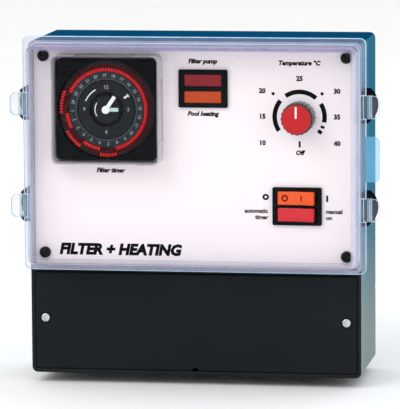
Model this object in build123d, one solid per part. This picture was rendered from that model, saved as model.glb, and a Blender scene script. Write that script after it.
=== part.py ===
from build123d import *
import math
import os

# Pool filter and heating control unit: a wall box with a clear hinged lid over its control panel
# and a screwed cover over its terminals. Millimetres. X runs right, Z up, and the front faces -Y.
# The origin is the centre of the back face, on the wall. A depth is a distance in front of the wall.

# --- housing ---
HOUSING_W = 213.0
HOUSING_H = 214.0
RIM_DEPTH = 79.0
WALL = 2.5
BACK = 3.0
CORNER_R = 3.8
BACK_EDGE_R = 0.8
PARTITION = 4.0
WIRE_SLOT_W = 20.0
WIRE_SLOT_H = 10.0
WIRE_SLOT_DEPTH = 20.0
WIRE_SLOT_X = 35.0
PRY_NOTCH = 1.4
PRY_NOTCH_H = 3.0
PRY_NOTCH_RISE = 46.5

# --- screws and their bosses ---
SCREW_INSET_X = 9.4
SCREW_INSET_TOP = 9.8
SCREW_RISE = 7.8
SCREW_HEAD_R = 3.6
SCREW_HEAD_T = 2.3
SCREW_R = 1.6
SCREW_LENGTH = 14.0
PILOT_CLEARANCE = 0.05
HOLE_CLEARANCE = 0.3
CROSS_W = 1.0
CROSS_L = 4.4
CROSS_DEPTH = 1.3
BOSS_R = 4.4
BOSS_RIB = 2.0

# --- wall fixing ---
WALL_HOLE_R = 2.4
WALL_HOLE_SPACING = 170.0
WALL_HOLE_RISE = 13.0
KEYHOLE_HEAD_R = 4.6
KEYHOLE_SLOT_R = 2.4
KEYHOLE_TRAVEL = 8.0
KEYHOLE_LIP = 2.0
KEYHOLE_POCKET = 4.5
KEYHOLE_WALL = 2.0
KEYHOLE_FROM_TOP = 22.0

# --- cable entries ---
ENTRY_COUNT = 5
ENTRY_PITCH = 36.0
ENTRY_R = 8.2
ENTRY_DEPTH = 34.0
GROMMET_HOLE_R = 4.5
GROMMET_LIP_R = 10.4
GROMMET_LIP_T = 2.0
GROMMET_NOSE = 4.0
GROMMET_NOSE_R = 6.6

# --- terminal cover ---
COVER_H = 62.4
COVER_T = 2.6
COVER_GAP = 0.4
COVER_PROUD = 1.0
COVER_EDGE = 0.8
COVER_LIP_T = 1.6
COVER_LIP_DEPTH = 6.0
COVER_LIP_INSET = 2.0
COVER_SCREW_RISE = 35.8
COVER_BORE_R = 3.6
COVER_BORE_DEPTH = 1.5
COVER_HEAD_R = 2.8
COVER_NOTCH_R = 2.2

# --- front panel ---
PANEL_T = 2.5
PANEL_SET = 1.0
PANEL_GAP = 0.5
CUTOUT_GAP = 0.4

# --- lid ---
LID_OVERHANG = 3.5
LID_TOP_OVERHANG = 3.0
LID_BOTTOM_SET = 1.5
LID_DEPTH = 19.7
LID_GAP = 0.3
LID_FLANGE_T = 1.8
LID_FLANGE_R = 4.0
LID_WALL = 2.4
LID_FRONT_T = 2.0
LID_INSET = 4.4
LID_BODY_R = 5.5
LID_DRAFT_DEG = 2.9
LID_FRONT_R = 1.8
GASKET_T = 1.0
GRIP_H = 29.0
GRIP_REACH = 8.8
GRIP_R = 4.0
GRIP_FROM_TOP = 73.5

# --- lid lugs, their brackets and pins ---
PIN_R = 1.0
PIN_OFFSET = 4.1
PIN_SET = 4.8
PIN_CLEARANCE = 0.05
LUG_H = 14.6
LUG_REACH = 8.5
LUG_CORNER = 2.4
LUG_T = 2.6
CLAW_HALF = 2.3
MOUTH_NARROWING = 0.15
BRACKET_CENTRE_INSET = 4.5
BRACKET_T = 16.8
BRACKET_SET = 1.5
BRACKET_GAP = 0.4
BRACKET_WEB = 2.0
EAR_T = 2.8
EAR_COVER = 0.3
PIN_BITE = 1.5
UPPER_LUG_FROM_TOP = 40.6
LUG_PITCH = 65.3

# --- timer ---
TIMER_MARGIN_LEFT = 16.9
TIMER_MARGIN_TOP = 8.1
TIMER_COVER_REACH = 17.6
TIMER_COVER_WALL = 1.4
TIMER_COVER_GAP = 1.1
TIMER_COVER_EDGE_R = 1.2
TIMER_COVER_R = 4.5
TIMER_GRIP_L = 39.0
TIMER_GRIP_DEPTH = 0.5
TIMER_LEDGE = 2.3
TIMER_FRAME_REACH = 11.5
TIMER_FRAME_R = 3.5
TIMER_FRAME_EDGE_R = 0.8
TIMER_BODY_W = 60.0
TIMER_BODY_T = 38.0
TIMER_SHELL = 1.6
WELL_RIM = 1.0
WELL_DEPTH = 6.0
WELL_FLOOR_T = 2.0
NUMBER_BAND = 5.3
FACE_T = 1.8
FACE_BOSS_SET = 0.8
FACE_BOSS_T = 3.0
RUNNING_CLEARANCE = 0.08
DIAL_GAP = 0.7
DIAL_LIFT = 0.5
DIAL_RIM_T = 1.2
TAPPET_BAND = 6.6
DIAL_NUMBER_T = 4.0
TAPPET_COUNT = 96
TAPPET_W = 1.15
TAPPET_GAP = 0.3
TAPPET_L = 4.9
TAPPET_SHIFT = 0.9
TAPPET_LOW_T = 1.6
TAPPET_HIGH_T = 3.0
TAPPET_HIGH_L = 2.1
TAPPETS_OUT = (range(42, 50), range(56, 63), range(70, 76))
ARBOR_R = 0.8
HOUR_TUBE_R = 1.6
HAND_T = 0.6
HAND_GAP = 0.4
MINUTE_L = 10.2
MINUTE_W = 2.4
MINUTE_DEG = 56.0
HOUR_L = 7.8
HOUR_W = 2.4
HUB_R = 2.5
MOVEMENT_W = 48.0
MOVEMENT_T = 16.0
MOTOR_R = 18.0
MOTOR_T = 15.0
TIMER_BACK_T = 3.0
TIMER_TAB_COUNT = 5
TIMER_TAB_PITCH = 11.0
MOTOR_FLANGE_REACH = 4.0
MOTOR_FLANGE_H = 8.0
MOTOR_FLANGE_T = 1.2
SWITCH_H = 15.0
SWITCH_DROP = 12.5
SWITCH_GAP = 1.0
ARBOR_BITE = 8.0
TUBE_BITE = 4.0
CLAMP_RING = 3.5
CLAMP_T = 4.0
TAB_W = 6.3
TAB_T = 0.8
TAB_L = 9.0

# --- switch and lamp blocks ---
BLOCK_W = 31.4
BLOCK_H = 24.2
BLOCK_T = 2.4
BLOCK_R = 1.0
BLOCK_BODY_W = 27.6
BLOCK_BODY_H = 21.6
BLOCK_T_BEHIND = 20.0
BLOCK_EDGE_R = 0.5
BLOCK_PITCH = 10.6
ROCKER_FROM_RIGHT = 40.8
ROCKER_RISE = 109.8
ROCKER_W = 24.0
ROCKER_H = 8.4
ROCKER_GAP = 0.25
ROCKER_TILT = 8.0
ROCKER_PIVOT_SET = 1.0
ROCKER_VALLEY = 3.6
ROCKER_SKIRT = 2.0
ROCKER_SKIRT_IN = 0.8
ROCKER_WELL_HALF = 12.95
ROCKER_WELL_DEPTH = 5.2
ROCKER_TIP_R = 0.8
ROCKER_TABS = (-8.0, 0.0, 8.0)
LAMP_TABS = (-8.0, 8.0)
TRUNNION_R = 1.5
TRUNNION_L = 0.75
LAMP_GAP = 10.2
LAMP_FROM_TOP = 29.9
LENS_W = 23.4
LENS_H = 7.3
LENS_PROUD = 0.3
LENS_T = 1.6
LAMP_R = 2.2
LAMP_L = 12.0
LAMP_SET = 6.0

# --- temperature knob ---
KNOB_FROM_RIGHT = 39.2
KNOB_FROM_TOP = 47.4
KNOB_R = 10.3
KNOB_FLUTES = 20
KNOB_FLUTE_R = 0.9
KNOB_LIFT = 1.0
KNOB_BODY_T = 12.6
KNOB_RECESS_GAP = 1.2
KNOB_RECESS_T = 3.0
CAP_R = 9.1
CAP_T = 4.8
CAP_EDGE_R = 0.8
POINTER_W = 1.1
POINTER_L = 7.2
POINTER_T = 0.3
POINTER_SET = 0.2
SHAFT_R = 3.0
SHAFT_BITE = 9.0
BUSH_WALL = 0.55
POT_R = 8.5
POT_T = 10.0
POT_FLOOR = 2.0
NUT_WALL = 1.4
NUT_T = 2.0

# --- circuit board ---
BOARD_W = 132.0
BOARD_H = 92.0
BOARD_T = 1.6
BOARD_LIFT = 9.0
BOARD_FROM_RIGHT = 12.0
BOARD_RISE = 9.0
BOARD_HOLE_INSET = 5.0
POST_R = 3.2
BOARD_SCREW_R = 1.4
BOARD_SCREW_HEAD_R = 2.7
RELAY_W = 29.0
RELAY_H = 12.8
RELAY_T = 15.7
CORE_W = 38.0
CORE_H = 32.0
CORE_T = 14.0
COIL_W = 26.0
COIL_H = 30.0
COIL_T = 26.0
CAPACITOR_R = 6.5
CAPACITOR_T = 20.0
FUSE_R = 2.5
FUSE_L = 20.0
FUSE_PLACE = (-44.0, 24.0)
FUSE_LIFT = 6.0
CLIP_W = 4.0
CLIP_WALL = 0.6
CLIP_SET = 2.5
FUSE_BASE_T = 2.0
TRANSFORMER_PLACE = (26.0, -22.0)
FILTER_RELAY_PLACE = (-20.0, -12.0)
HEATING_RELAY_PLACE = (-20.0, 6.0)
CAPACITOR_PLACE = (50.0, 8.0)
BOARD_TERMINALS_PLACE = (-25.0, -37.0)
BOARD_TERMINAL_WAYS = 12
BOARD_TERMINAL_PITCH = 5.08
BOARD_TERMINAL_H = 8.4
BOARD_TERMINAL_T = 10.0
BOARD_TERMINAL_HOLE_R = 1.5
BOARD_SCREW_HEAD_T = 1.8
BOARD_SCREW_BITE = 6.0
PART_EDGE_R = 0.6
COIL_EDGE_R = 3.0
BOARD_CORNER_R = 2.0

# --- terminals ---
STRIP_WAYS = 12
STRIP_PITCH = 10.0
STRIP_H = 20.0
STRIP_T = 17.0
STRIP_RISE = 40.0
STRIP_SCREW_R = 1.9
STRIP_SLIT_W = 1.0
STRIP_SLIT_DEPTH = 5.0
STRIP_SCREW_DEPTH = 6.0
STRIP_SCREW_SET = 2.5
STRIP_WIRE_R = 2.0
STRIP_WIRE_LIFT = 6.0
SLOT_W = 0.7
SLOT_DEPTH = 0.8
EARTH_W = 62.0
EARTH_H = 8.0
EARTH_T = 6.5
EARTH_LIFT = 6.0
EARTH_RISE = 24.0
EARTH_WAYS = 7
EARTH_PITCH = 8.0
EARTH_FOOT_W = 5.0
EARTH_SCREW_R = 1.6
EARTH_SCREW_L = 4.0
EARTH_HEAD_R = 2.8
EARTH_HEAD_T = 1.8

LEFT = -HOUSING_W / 2
RIGHT = HOUSING_W / 2
BOTTOM = -HOUSING_H / 2
TOP = HOUSING_H / 2
COVER_BOTTOM = BOTTOM + WALL + COVER_GAP
COVER_TOP = COVER_BOTTOM + COVER_H
COVER_FACE = RIM_DEPTH + COVER_PROUD
COVER_BACK = COVER_FACE - COVER_T
PARTITION_BOTTOM = COVER_TOP + COVER_GAP
PARTITION_TOP = PARTITION_BOTTOM + PARTITION
PANEL_FACE = RIM_DEPTH - PANEL_SET
PANEL_BACK = PANEL_FACE - PANEL_T
PANEL_BOTTOM = PARTITION_TOP + PANEL_GAP
PANEL_TOP = TOP - WALL - PANEL_GAP
SCREW_X = RIGHT - SCREW_INSET_X
PANEL_SCREW_HEIGHTS = (PANEL_BOTTOM + SCREW_RISE, TOP - SCREW_INSET_TOP)
PANEL_SCREWS = [(x, z) for x in (-SCREW_X, SCREW_X) for z in PANEL_SCREW_HEIGHTS]
COVER_SCREWS = [(x, BOTTOM + COVER_SCREW_RISE) for x in (-SCREW_X, SCREW_X)]
LID_BACK = RIM_DEPTH + GASKET_T + LID_GAP
LID_FACE = LID_BACK + LID_DEPTH
LID_RIGHT = RIGHT + LID_OVERHANG
LID_TOP = TOP + LID_TOP_OVERHANG
LID_BOTTOM = PARTITION_BOTTOM + LID_BOTTOM_SET
LUG_HEIGHTS = (TOP - UPPER_LUG_FROM_TOP, TOP - UPPER_LUG_FROM_TOP - LUG_PITCH)
PIN_X = RIGHT + PIN_OFFSET
PIN_DEPTH = LID_BACK - PIN_SET
PIN_REACH = LUG_H / 2 + BRACKET_GAP + PIN_BITE
BRACKET_H = LUG_H + 2 * (BRACKET_GAP + EAR_T)
BRACKET_R = math.hypot(BRACKET_CENTRE_INSET + PIN_OFFSET + PIN_R + EAR_COVER, PIN_REACH)
BRACKET_FRONT = LID_BACK - BRACKET_SET
BRACKET_BACK = BRACKET_FRONT - BRACKET_T
TIMER_FRAME_W = TIMER_BODY_W + 2 * TIMER_LEDGE
TIMER_COVER_W = TIMER_FRAME_W + 2 * (TIMER_COVER_GAP + TIMER_COVER_WALL)
TIMER_X = LEFT + TIMER_MARGIN_LEFT + TIMER_COVER_W / 2
TIMER_Z = TOP - TIMER_MARGIN_TOP - TIMER_COVER_W / 2
TIMER_FACE = PANEL_FACE + TIMER_FRAME_REACH
TIMER_BODY_BACK = PANEL_FACE - TIMER_BODY_T
WELL_R = TIMER_FRAME_W / 2 - WELL_RIM
DIAL_R = WELL_R - DIAL_GAP
DIAL_NUMBER_R = DIAL_R - TAPPET_BAND
TAPPET_INNER_R = DIAL_NUMBER_R + TAPPET_GAP
FACE_R = DIAL_NUMBER_R - NUMBER_BAND - RUNNING_CLEARANCE
FACE_BOSS_R = FACE_R - FACE_BOSS_SET
CLAMP_W = TIMER_BODY_W + 2 * CLAMP_RING
WELL_FLOOR = TIMER_FACE - WELL_DEPTH
DIAL_BACK = WELL_FLOOR + DIAL_LIFT
FACE_BACK = WELL_FLOOR + FACE_BOSS_T
FACE_FRONT = FACE_BACK + FACE_T
HOUR_BACK = FACE_FRONT + HAND_GAP
MINUTE_BACK = HOUR_BACK + HAND_T + HAND_GAP
MOVEMENT_FRONT = WELL_FLOOR - WELL_FLOOR_T
MOVEMENT_BACK = MOVEMENT_FRONT - MOVEMENT_T
ROCKER_X = RIGHT - ROCKER_FROM_RIGHT
ROCKER_Z = BOTTOM + ROCKER_RISE
ROCKER_PIVOT = PANEL_FACE - ROCKER_PIVOT_SET
BLOCK_BACK = PANEL_FACE - BLOCK_T_BEHIND
LAMP_X = TIMER_X + TIMER_COVER_W / 2 + LAMP_GAP + BLOCK_W / 2
LAMP_Z = TOP - LAMP_FROM_TOP
LAMP_DEPTH = PANEL_FACE - LAMP_SET
KNOB_X = RIGHT - KNOB_FROM_RIGHT
KNOB_Z = TOP - KNOB_FROM_TOP
KNOB_BACK = PANEL_FACE + KNOB_LIFT
CAP_BACK = KNOB_BACK + KNOB_BODY_T
CAP_FACE = CAP_BACK + CAP_T
POT_BACK = PANEL_BACK - POT_T
BUSH_R = SHAFT_R + RUNNING_CLEARANCE + BUSH_WALL
NUT_AF = 2 * (BUSH_R + NUT_WALL)
KNOB_RECESS_R = NUT_AF / 2 / math.cos(math.radians(30)) + KNOB_RECESS_GAP
BOARD_X = RIGHT - WALL - BOARD_FROM_RIGHT - BOARD_W / 2
BOARD_Z = PARTITION_TOP + BOARD_RISE + BOARD_H / 2
BOARD_BACK = BACK + BOARD_LIFT
BOARD_FACE = BOARD_BACK + BOARD_T
STRIP_Z = BOTTOM + STRIP_RISE
EARTH_Z = BOTTOM + EARTH_RISE
EARTH_TOP = BACK + EARTH_LIFT + EARTH_T
KEYHOLE_Z = TOP - KEYHOLE_FROM_TOP


def block(x0, x1, d0, d1, z0, z1):
    """Block between two widths, two depths and two heights."""
    centre = Pos((x0 + x1) / 2, -(d0 + d1) / 2, (z0 + z1) / 2)
    return centre * Box(x1 - x0, d1 - d0, z1 - z0)


def centred(x, z, w, h, d0, d1, r=0.0):
    """Block centred on a width and a height, with its depth-wise edges rounded."""
    body = block(x - w / 2, x + w / 2, d0, d1, z - h / 2, z + h / 2)
    return fillet(body.edges().filter_by(Axis.Y), r) if r else body


def rod(x, z, r, d0, d1):
    """Round bar along the depth."""
    return Pos(x, -(d0 + d1) / 2, z) * Rot(90, 0, 0) * Cylinder(r, d1 - d0)


def post(x, depth, r, z0, z1):
    """Round bar along the height."""
    return Pos(x, -depth, (z0 + z1) / 2) * Cylinder(r, z1 - z0)


def tube(x, z, outer, inner, d0, d1):
    """Round tube along the depth."""
    return rod(x, z, outer, d0, d1) - rod(x, z, inner, d0 - 1, d1 + 1)


def front(x, depth, z):
    """Plane that faces forwards, with its own X to the right and Y up."""
    return Plane(origin=(x, -depth, z), x_dir=(1, 0, 0), z_dir=(0, -1, 0))


def save(name, *solids):
    """Write one node from its solids."""
    made = list(solids)
    shape = made[0] if len(made) == 1 else Compound(children=made)
    shape.label = name
    export_step(shape, os.path.join("parts", name + ".step"))


def boss(x, z, front_depth):
    """Screw boss on the back wall, joined to the nearer side wall by a rib."""
    side = math.copysign(RIGHT - WALL / 2, x)
    rib = block(min(x, side), max(x, side), BACK / 2, front_depth, z - BOSS_RIB / 2, z + BOSS_RIB / 2)
    pilot = rod(x, z, SCREW_R + PILOT_CLEARANCE, front_depth - SCREW_LENGTH, front_depth + 1)
    return rod(x, z, BOSS_R, BACK / 2, front_depth) + rib - pilot


def keyhole():
    """Blind keyhole pocket behind the top of the back wall, open to the wall only."""
    x_half = KEYHOLE_HEAD_R + KEYHOLE_WALL
    z0 = KEYHOLE_Z - x_half
    z1 = KEYHOLE_Z + KEYHOLE_TRAVEL + x_half
    depth = KEYHOLE_LIP + KEYHOLE_POCKET
    solid = block(-x_half, x_half, BACK / 2, depth + KEYHOLE_WALL, z0, z1)
    pocket = keyhole_slot(KEYHOLE_HEAD_R, KEYHOLE_LIP, depth)
    slot = keyhole_slot(KEYHOLE_SLOT_R, -1, depth - 1)
    entry = rod(0, KEYHOLE_Z, KEYHOLE_HEAD_R, -1, depth - 1)
    return solid, pocket + slot + entry


def keyhole_slot(r, d0, d1):
    """Upright slot with round ends, from the keyhole's entry to the end of its travel."""
    low = rod(0, KEYHOLE_Z, r, d0, d1)
    high = rod(0, KEYHOLE_Z + KEYHOLE_TRAVEL, r, d0, d1)
    return low + high + block(-r, r, d0, d1, KEYHOLE_Z, KEYHOLE_Z + KEYHOLE_TRAVEL)


def entry_positions():
    """Widths of the cable entries."""
    return [(i - (ENTRY_COUNT - 1) / 2) * ENTRY_PITCH for i in range(ENTRY_COUNT)]


def board_holes():
    """Widths and heights of the four board posts."""
    dx = BOARD_W / 2 - BOARD_HOLE_INSET
    dz = BOARD_H / 2 - BOARD_HOLE_INSET
    return [(BOARD_X + sx * dx, BOARD_Z + sz * dz) for sx in (-1, 1) for sz in (-1, 1)]


def housing_base():
    """Box with a compartment for the terminals below and one for the electronics above."""
    shell = centred(0, 0, HOUSING_W, HOUSING_H, 0, RIM_DEPTH, CORNER_R)
    inside = RIGHT - WALL
    inner_r = CORNER_R - WALL
    lower_h = PARTITION_BOTTOM - BOTTOM - WALL
    upper_h = TOP - WALL - PARTITION_TOP
    lower = centred(0, BOTTOM + WALL + lower_h / 2, 2 * inside, lower_h, BACK, RIM_DEPTH + 1, inner_r)
    upper = centred(0, PARTITION_TOP + upper_h / 2, 2 * inside, upper_h, BACK, RIM_DEPTH + 1, inner_r)
    body = fillet(shell.faces().sort_by(Axis.Y)[-1].edges(), BACK_EDGE_R) - lower - upper
    for x, z in PANEL_SCREWS:
        body += boss(x, z, PANEL_BACK)
    for x, z in COVER_SCREWS:
        body += boss(x, z, COVER_BACK)
    for x, z in board_holes():
        body += rod(x, z, POST_R, BACK / 2, BOARD_BACK)
        body -= rod(x, z, BOARD_SCREW_R + PILOT_CLEARANCE, BACK, BOARD_BACK + 1)
    hanger, cavity = keyhole()
    body = body + hanger - cavity
    for x in (-WALL_HOLE_SPACING / 2, WALL_HOLE_SPACING / 2):
        body -= rod(x, BOTTOM + WALL_HOLE_RISE, WALL_HOLE_R, -1, BACK + 1)
    for x in (-WIRE_SLOT_X, WIRE_SLOT_X):
        d1 = WIRE_SLOT_DEPTH + WIRE_SLOT_H
        z0 = PARTITION_BOTTOM - 1
        body -= block(x - WIRE_SLOT_W / 2, x + WIRE_SLOT_W / 2, WIRE_SLOT_DEPTH, d1, z0, PARTITION_TOP + 1)
    for x in entry_positions():
        body -= post(x, ENTRY_DEPTH, ENTRY_R, BOTTOM - 1, BOTTOM + WALL + 1)
    for side in (-1, 1):
        edge = side * RIGHT
        z0 = BOTTOM + PRY_NOTCH_RISE
        body -= block(edge - PRY_NOTCH, edge + PRY_NOTCH, -1, PRY_NOTCH, z0, z0 + PRY_NOTCH_H)
    return body


def cross_screw(x, z, seat, head_r):
    """Self-tapping screw with a domed cross-recess head whose seat is at the given depth."""
    head = rod(x, z, head_r, seat, seat + SCREW_HEAD_T)
    head = fillet(head.faces().sort_by(Axis.Y)[0].edges(), SCREW_HEAD_T / 3)
    top = seat + SCREW_HEAD_T
    for w, h in ((CROSS_W, CROSS_L), (CROSS_L, CROSS_W)):
        head -= centred(x, z, w, h, top - CROSS_DEPTH, top + 1)
    return head


def panel_screw(x, z):
    """Screw that clamps the panel to its boss."""
    shank = rod(x, z, SCREW_R, PANEL_BACK - SCREW_LENGTH + 1, PANEL_FACE)
    return cross_screw(x, z, PANEL_FACE, SCREW_HEAD_R) + shank


def cover_screw(x, z):
    """Screw sunk in the terminal cover."""
    seat = COVER_FACE - COVER_BORE_DEPTH
    shank = rod(x, z, SCREW_R, COVER_BACK - SCREW_LENGTH + 1, seat)
    return cross_screw(x, z, seat, COVER_HEAD_R) + shank


def terminal_cover():
    """Flat cover with a locating lip, sunk screw seats and a notch to lever it off."""
    half = RIGHT - WALL - COVER_GAP
    z = (COVER_BOTTOM + COVER_TOP) / 2
    plate = centred(0, z, 2 * half, COVER_H, COVER_BACK, COVER_FACE, CORNER_R - WALL)
    plate = chamfer(plate.faces().sort_by(Axis.Y)[0].edges(), COVER_EDGE)
    w = 2 * (half - COVER_LIP_INSET)
    h = COVER_H - 2 * COVER_LIP_INSET
    back = COVER_BACK - COVER_LIP_DEPTH
    lip = centred(0, z, w, h, back, COVER_BACK)
    lip -= centred(0, z, w - 2 * COVER_LIP_T, h - 2 * COVER_LIP_T, back - 1, COVER_BACK + 1)
    for x, screw_z in COVER_SCREWS:
        room = 2 * (BOSS_R + HOLE_CLEARANCE)
        lip -= centred(x, screw_z, 2 * room, room, back - 1, COVER_BACK)
    cover = plate + lip
    for x, screw_z in COVER_SCREWS:
        cover -= rod(x, screw_z, COVER_BORE_R, COVER_FACE - COVER_BORE_DEPTH, COVER_FACE + 1)
        cover -= rod(x, screw_z, SCREW_R + HOLE_CLEARANCE, COVER_BACK - 1, COVER_FACE + 1)
    return cover - rod(0, COVER_BOTTOM, COVER_NOTCH_R, COVER_BACK - 1, COVER_FACE + 1)


def front_panel():
    """Flat printed panel with cut-outs for the devices that it carries."""
    half = RIGHT - WALL - PANEL_GAP
    h = PANEL_TOP - PANEL_BOTTOM
    z = (PANEL_TOP + PANEL_BOTTOM) / 2
    panel = centred(0, z, 2 * half, h, PANEL_BACK, PANEL_FACE, CORNER_R - WALL)
    d0 = PANEL_BACK - 1
    d1 = PANEL_FACE + 1
    hole = TIMER_BODY_W + 2 * CUTOUT_GAP
    panel -= centred(TIMER_X, TIMER_Z, hole, hole, d0, d1)
    for x, z in ((ROCKER_X, ROCKER_Z), (LAMP_X, LAMP_Z)):
        panel -= centred(x, z, BLOCK_BODY_W + 2 * CUTOUT_GAP, BLOCK_BODY_H + 2 * CUTOUT_GAP, d0, d1)
    panel -= rod(KNOB_X, KNOB_Z, BUSH_R + PILOT_CLEARANCE, d0, d1)
    for x, z in PANEL_SCREWS:
        panel -= rod(x, z, SCREW_R + HOLE_CLEARANCE, d0, d1)
    return panel


def lid_gasket():
    """Flat seal on the rim, between the housing and the lid."""
    h = TOP - LID_BOTTOM
    z = (TOP + LID_BOTTOM) / 2
    inner_h = TOP - WALL - PARTITION_TOP
    inner_z = (TOP - WALL + PARTITION_TOP) / 2
    d0 = RIM_DEPTH
    d1 = RIM_DEPTH + GASKET_T
    ring = centred(0, z, HOUSING_W, h, d0, d1, CORNER_R)
    return ring - centred(0, inner_z, HOUSING_W - 2 * WALL, inner_h, d0 - 1, d1 + 1, CORNER_R - WALL)


def tapered(z, w, h, r, d0, d1):
    """Block that narrows towards the front by the lid's draft."""
    outline = front(0, d0, z) * RectangleRounded(w, h, r)
    return extrude(outline, amount=d1 - d0, taper=LID_DRAFT_DEG)


def claw(side, z, narrowing):
    """Block behind a lug that grips the pin, with its mouth to the back."""
    x = side * PIN_X
    tip = PIN_DEPTH - CLAW_HALF
    body = centred(x, z, 2 * CLAW_HALF, LUG_H, tip, LID_BACK + LUG_T)
    bore = post(x, PIN_DEPTH, PIN_R + PIN_CLEARANCE, z - LUG_H, z + LUG_H)
    half = PIN_R + PIN_CLEARANCE - narrowing
    mouth = block(x - half, x + half, tip - 1, PIN_DEPTH, z - LUG_H, z + LUG_H)
    return body - bore - mouth


def lug(side, z, narrowing):
    """Finger plate outside the flange, with the claw behind it."""
    inner = side * (LID_RIGHT - LID_OVERHANG)
    outer = side * (LID_RIGHT + LUG_REACH)
    plate = centred((inner + outer) / 2, z, abs(outer - inner), LUG_H, LID_BACK, LID_BACK + LUG_T)
    tips = plate.edges().filter_by(Axis.Y).sort_by(Axis.X)
    plate = chamfer(tips[-2:] if side > 0 else tips[:2], LUG_CORNER)
    return plate + claw(side, z, narrowing)


def clear_lid():
    """Clear lid: flange, drafted body, four lugs and a grip tab."""
    w = 2 * LID_RIGHT
    h = LID_TOP - LID_BOTTOM
    z = (LID_TOP + LID_BOTTOM) / 2
    body_w = w - 2 * LID_INSET
    body_h = h - 2 * LID_INSET
    body = tapered(z, body_w, body_h, LID_BODY_R, LID_BACK, LID_FACE)
    body = fillet(body.faces().sort_by(Axis.Y)[0].edges(), LID_FRONT_R)
    lid = body + centred(0, z, w, h, LID_BACK, LID_BACK + LID_FLANGE_T, LID_FLANGE_R)
    for side, narrowing in ((-1, MOUTH_NARROWING), (1, 0.0)):
        for lug_z in LUG_HEIGHTS:
            lid += lug(side, lug_z, narrowing)
    grip_w = GRIP_REACH + LID_OVERHANG
    grip_x = LID_RIGHT - LID_OVERHANG + grip_w / 2
    lid += centred(grip_x, TOP - GRIP_FROM_TOP, grip_w, GRIP_H, LID_BACK, LID_BACK + LID_FLANGE_T, GRIP_R)
    inner_w = body_w - 2 * LID_WALL
    inner_h = body_h - 2 * LID_WALL
    inner_r = LID_BODY_R - LID_WALL
    return lid - tapered(z, inner_w, inner_h, inner_r, LID_BACK - 1, LID_FACE - LID_FRONT_T)


def bracket(side, z):
    """Half-moon bracket on the housing's side: two ears that hold a pin, and a web behind the lug."""
    back = BRACKET_BACK
    top = BRACKET_FRONT + 1
    disc = rod(side * (RIGHT - BRACKET_CENTRE_INSET), z, BRACKET_R, back, BRACKET_FRONT)
    outside = centred(side * (RIGHT + BRACKET_R), z, 2 * BRACKET_R, BRACKET_H, back - 1, top)
    room = LUG_H + 2 * BRACKET_GAP
    slot = centred(side * RIGHT, z, 4 * BRACKET_R, room, back + BRACKET_WEB, top)
    return (disc & outside) - slot - pin(side, z)


def pin(side, z):
    """Plain pin between a bracket's two ears."""
    return post(side * PIN_X, PIN_DEPTH, PIN_R, z - PIN_REACH, z + PIN_REACH)


def grommet(x):
    """Rubber grommet gripping the housing's floor, with a nose below it."""
    lip = post(x, ENTRY_DEPTH, GROMMET_LIP_R, BOTTOM + WALL, BOTTOM + WALL + GROMMET_LIP_T)
    neck = post(x, ENTRY_DEPTH, ENTRY_R, BOTTOM, BOTTOM + WALL)
    collar = post(x, ENTRY_DEPTH, GROMMET_LIP_R, BOTTOM - GROMMET_LIP_T, BOTTOM)
    nose_z = BOTTOM - GROMMET_LIP_T - GROMMET_NOSE / 2
    nose = Pos(x, -ENTRY_DEPTH, nose_z) * Cone(GROMMET_NOSE_R, ENTRY_R, GROMMET_NOSE)
    bore = post(x, ENTRY_DEPTH, GROMMET_HOLE_R, BOTTOM - 20, BOTTOM + 20)
    return lip + neck + collar + nose - bore


def timer_case():
    """Square timer case: front frame with a round well for the dial, and a hollow body behind it."""
    frame = centred(TIMER_X, TIMER_Z, TIMER_FRAME_W, TIMER_FRAME_W, PANEL_FACE, TIMER_FACE, TIMER_FRAME_R)
    frame = fillet(frame.faces().sort_by(Axis.Y)[0].edges(), TIMER_FRAME_EDGE_R)
    body = centred(TIMER_X, TIMER_Z, TIMER_BODY_W, TIMER_BODY_W, TIMER_BODY_BACK, PANEL_FACE, TIMER_FRAME_R)
    inner = TIMER_BODY_W - 2 * TIMER_SHELL
    case = frame + body
    case -= centred(TIMER_X, TIMER_Z, inner, inner, TIMER_BODY_BACK - 1, MOVEMENT_FRONT, 2.0)
    case -= rod(TIMER_X, TIMER_Z, WELL_R, WELL_FLOOR, TIMER_FACE + 1)
    case += rod(TIMER_X, TIMER_Z, FACE_BOSS_R, WELL_FLOOR - 1, FACE_BACK)
    return case - rod(TIMER_X, TIMER_Z, HOUR_TUBE_R + RUNNING_CLEARANCE, MOVEMENT_FRONT - 1, FACE_BACK + 1)


def timer_dust_cover():
    """Clear cap over the timer's frame, with a shallow finger grip along each side."""
    face = PANEL_FACE + TIMER_COVER_REACH
    cap = centred(TIMER_X, TIMER_Z, TIMER_COVER_W, TIMER_COVER_W, PANEL_FACE, face, TIMER_COVER_R)
    cap = fillet(cap.faces().sort_by(Axis.Y)[0].edges(), TIMER_COVER_EDGE_R)
    inner = TIMER_COVER_W - 2 * TIMER_COVER_WALL
    inner_r = TIMER_COVER_R - TIMER_COVER_WALL
    cap -= centred(TIMER_X, TIMER_Z, inner, inner, PANEL_FACE - 1, face - TIMER_COVER_WALL, inner_r)
    reach = TIMER_COVER_W / 2
    for side in (-1, 1):
        edge = side * reach
        for w, h, x, z in (
            (2 * TIMER_GRIP_DEPTH, TIMER_GRIP_L, TIMER_X + edge, TIMER_Z),
            (TIMER_GRIP_L, 2 * TIMER_GRIP_DEPTH, TIMER_X, TIMER_Z + edge),
        ):
            cap -= centred(x, z, w, h, PANEL_FACE + 2, face + 1)
    return cap


def dial_ring():
    """24-hour ring: a raised band for the numbers and a lower rim that carries the tappets."""
    inner = FACE_R + RUNNING_CLEARANCE
    band = tube(TIMER_X, TIMER_Z, DIAL_NUMBER_R, inner, DIAL_BACK, DIAL_BACK + DIAL_NUMBER_T)
    return band + tube(TIMER_X, TIMER_Z, DIAL_R, inner, DIAL_BACK, DIAL_BACK + DIAL_RIM_T)


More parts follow.
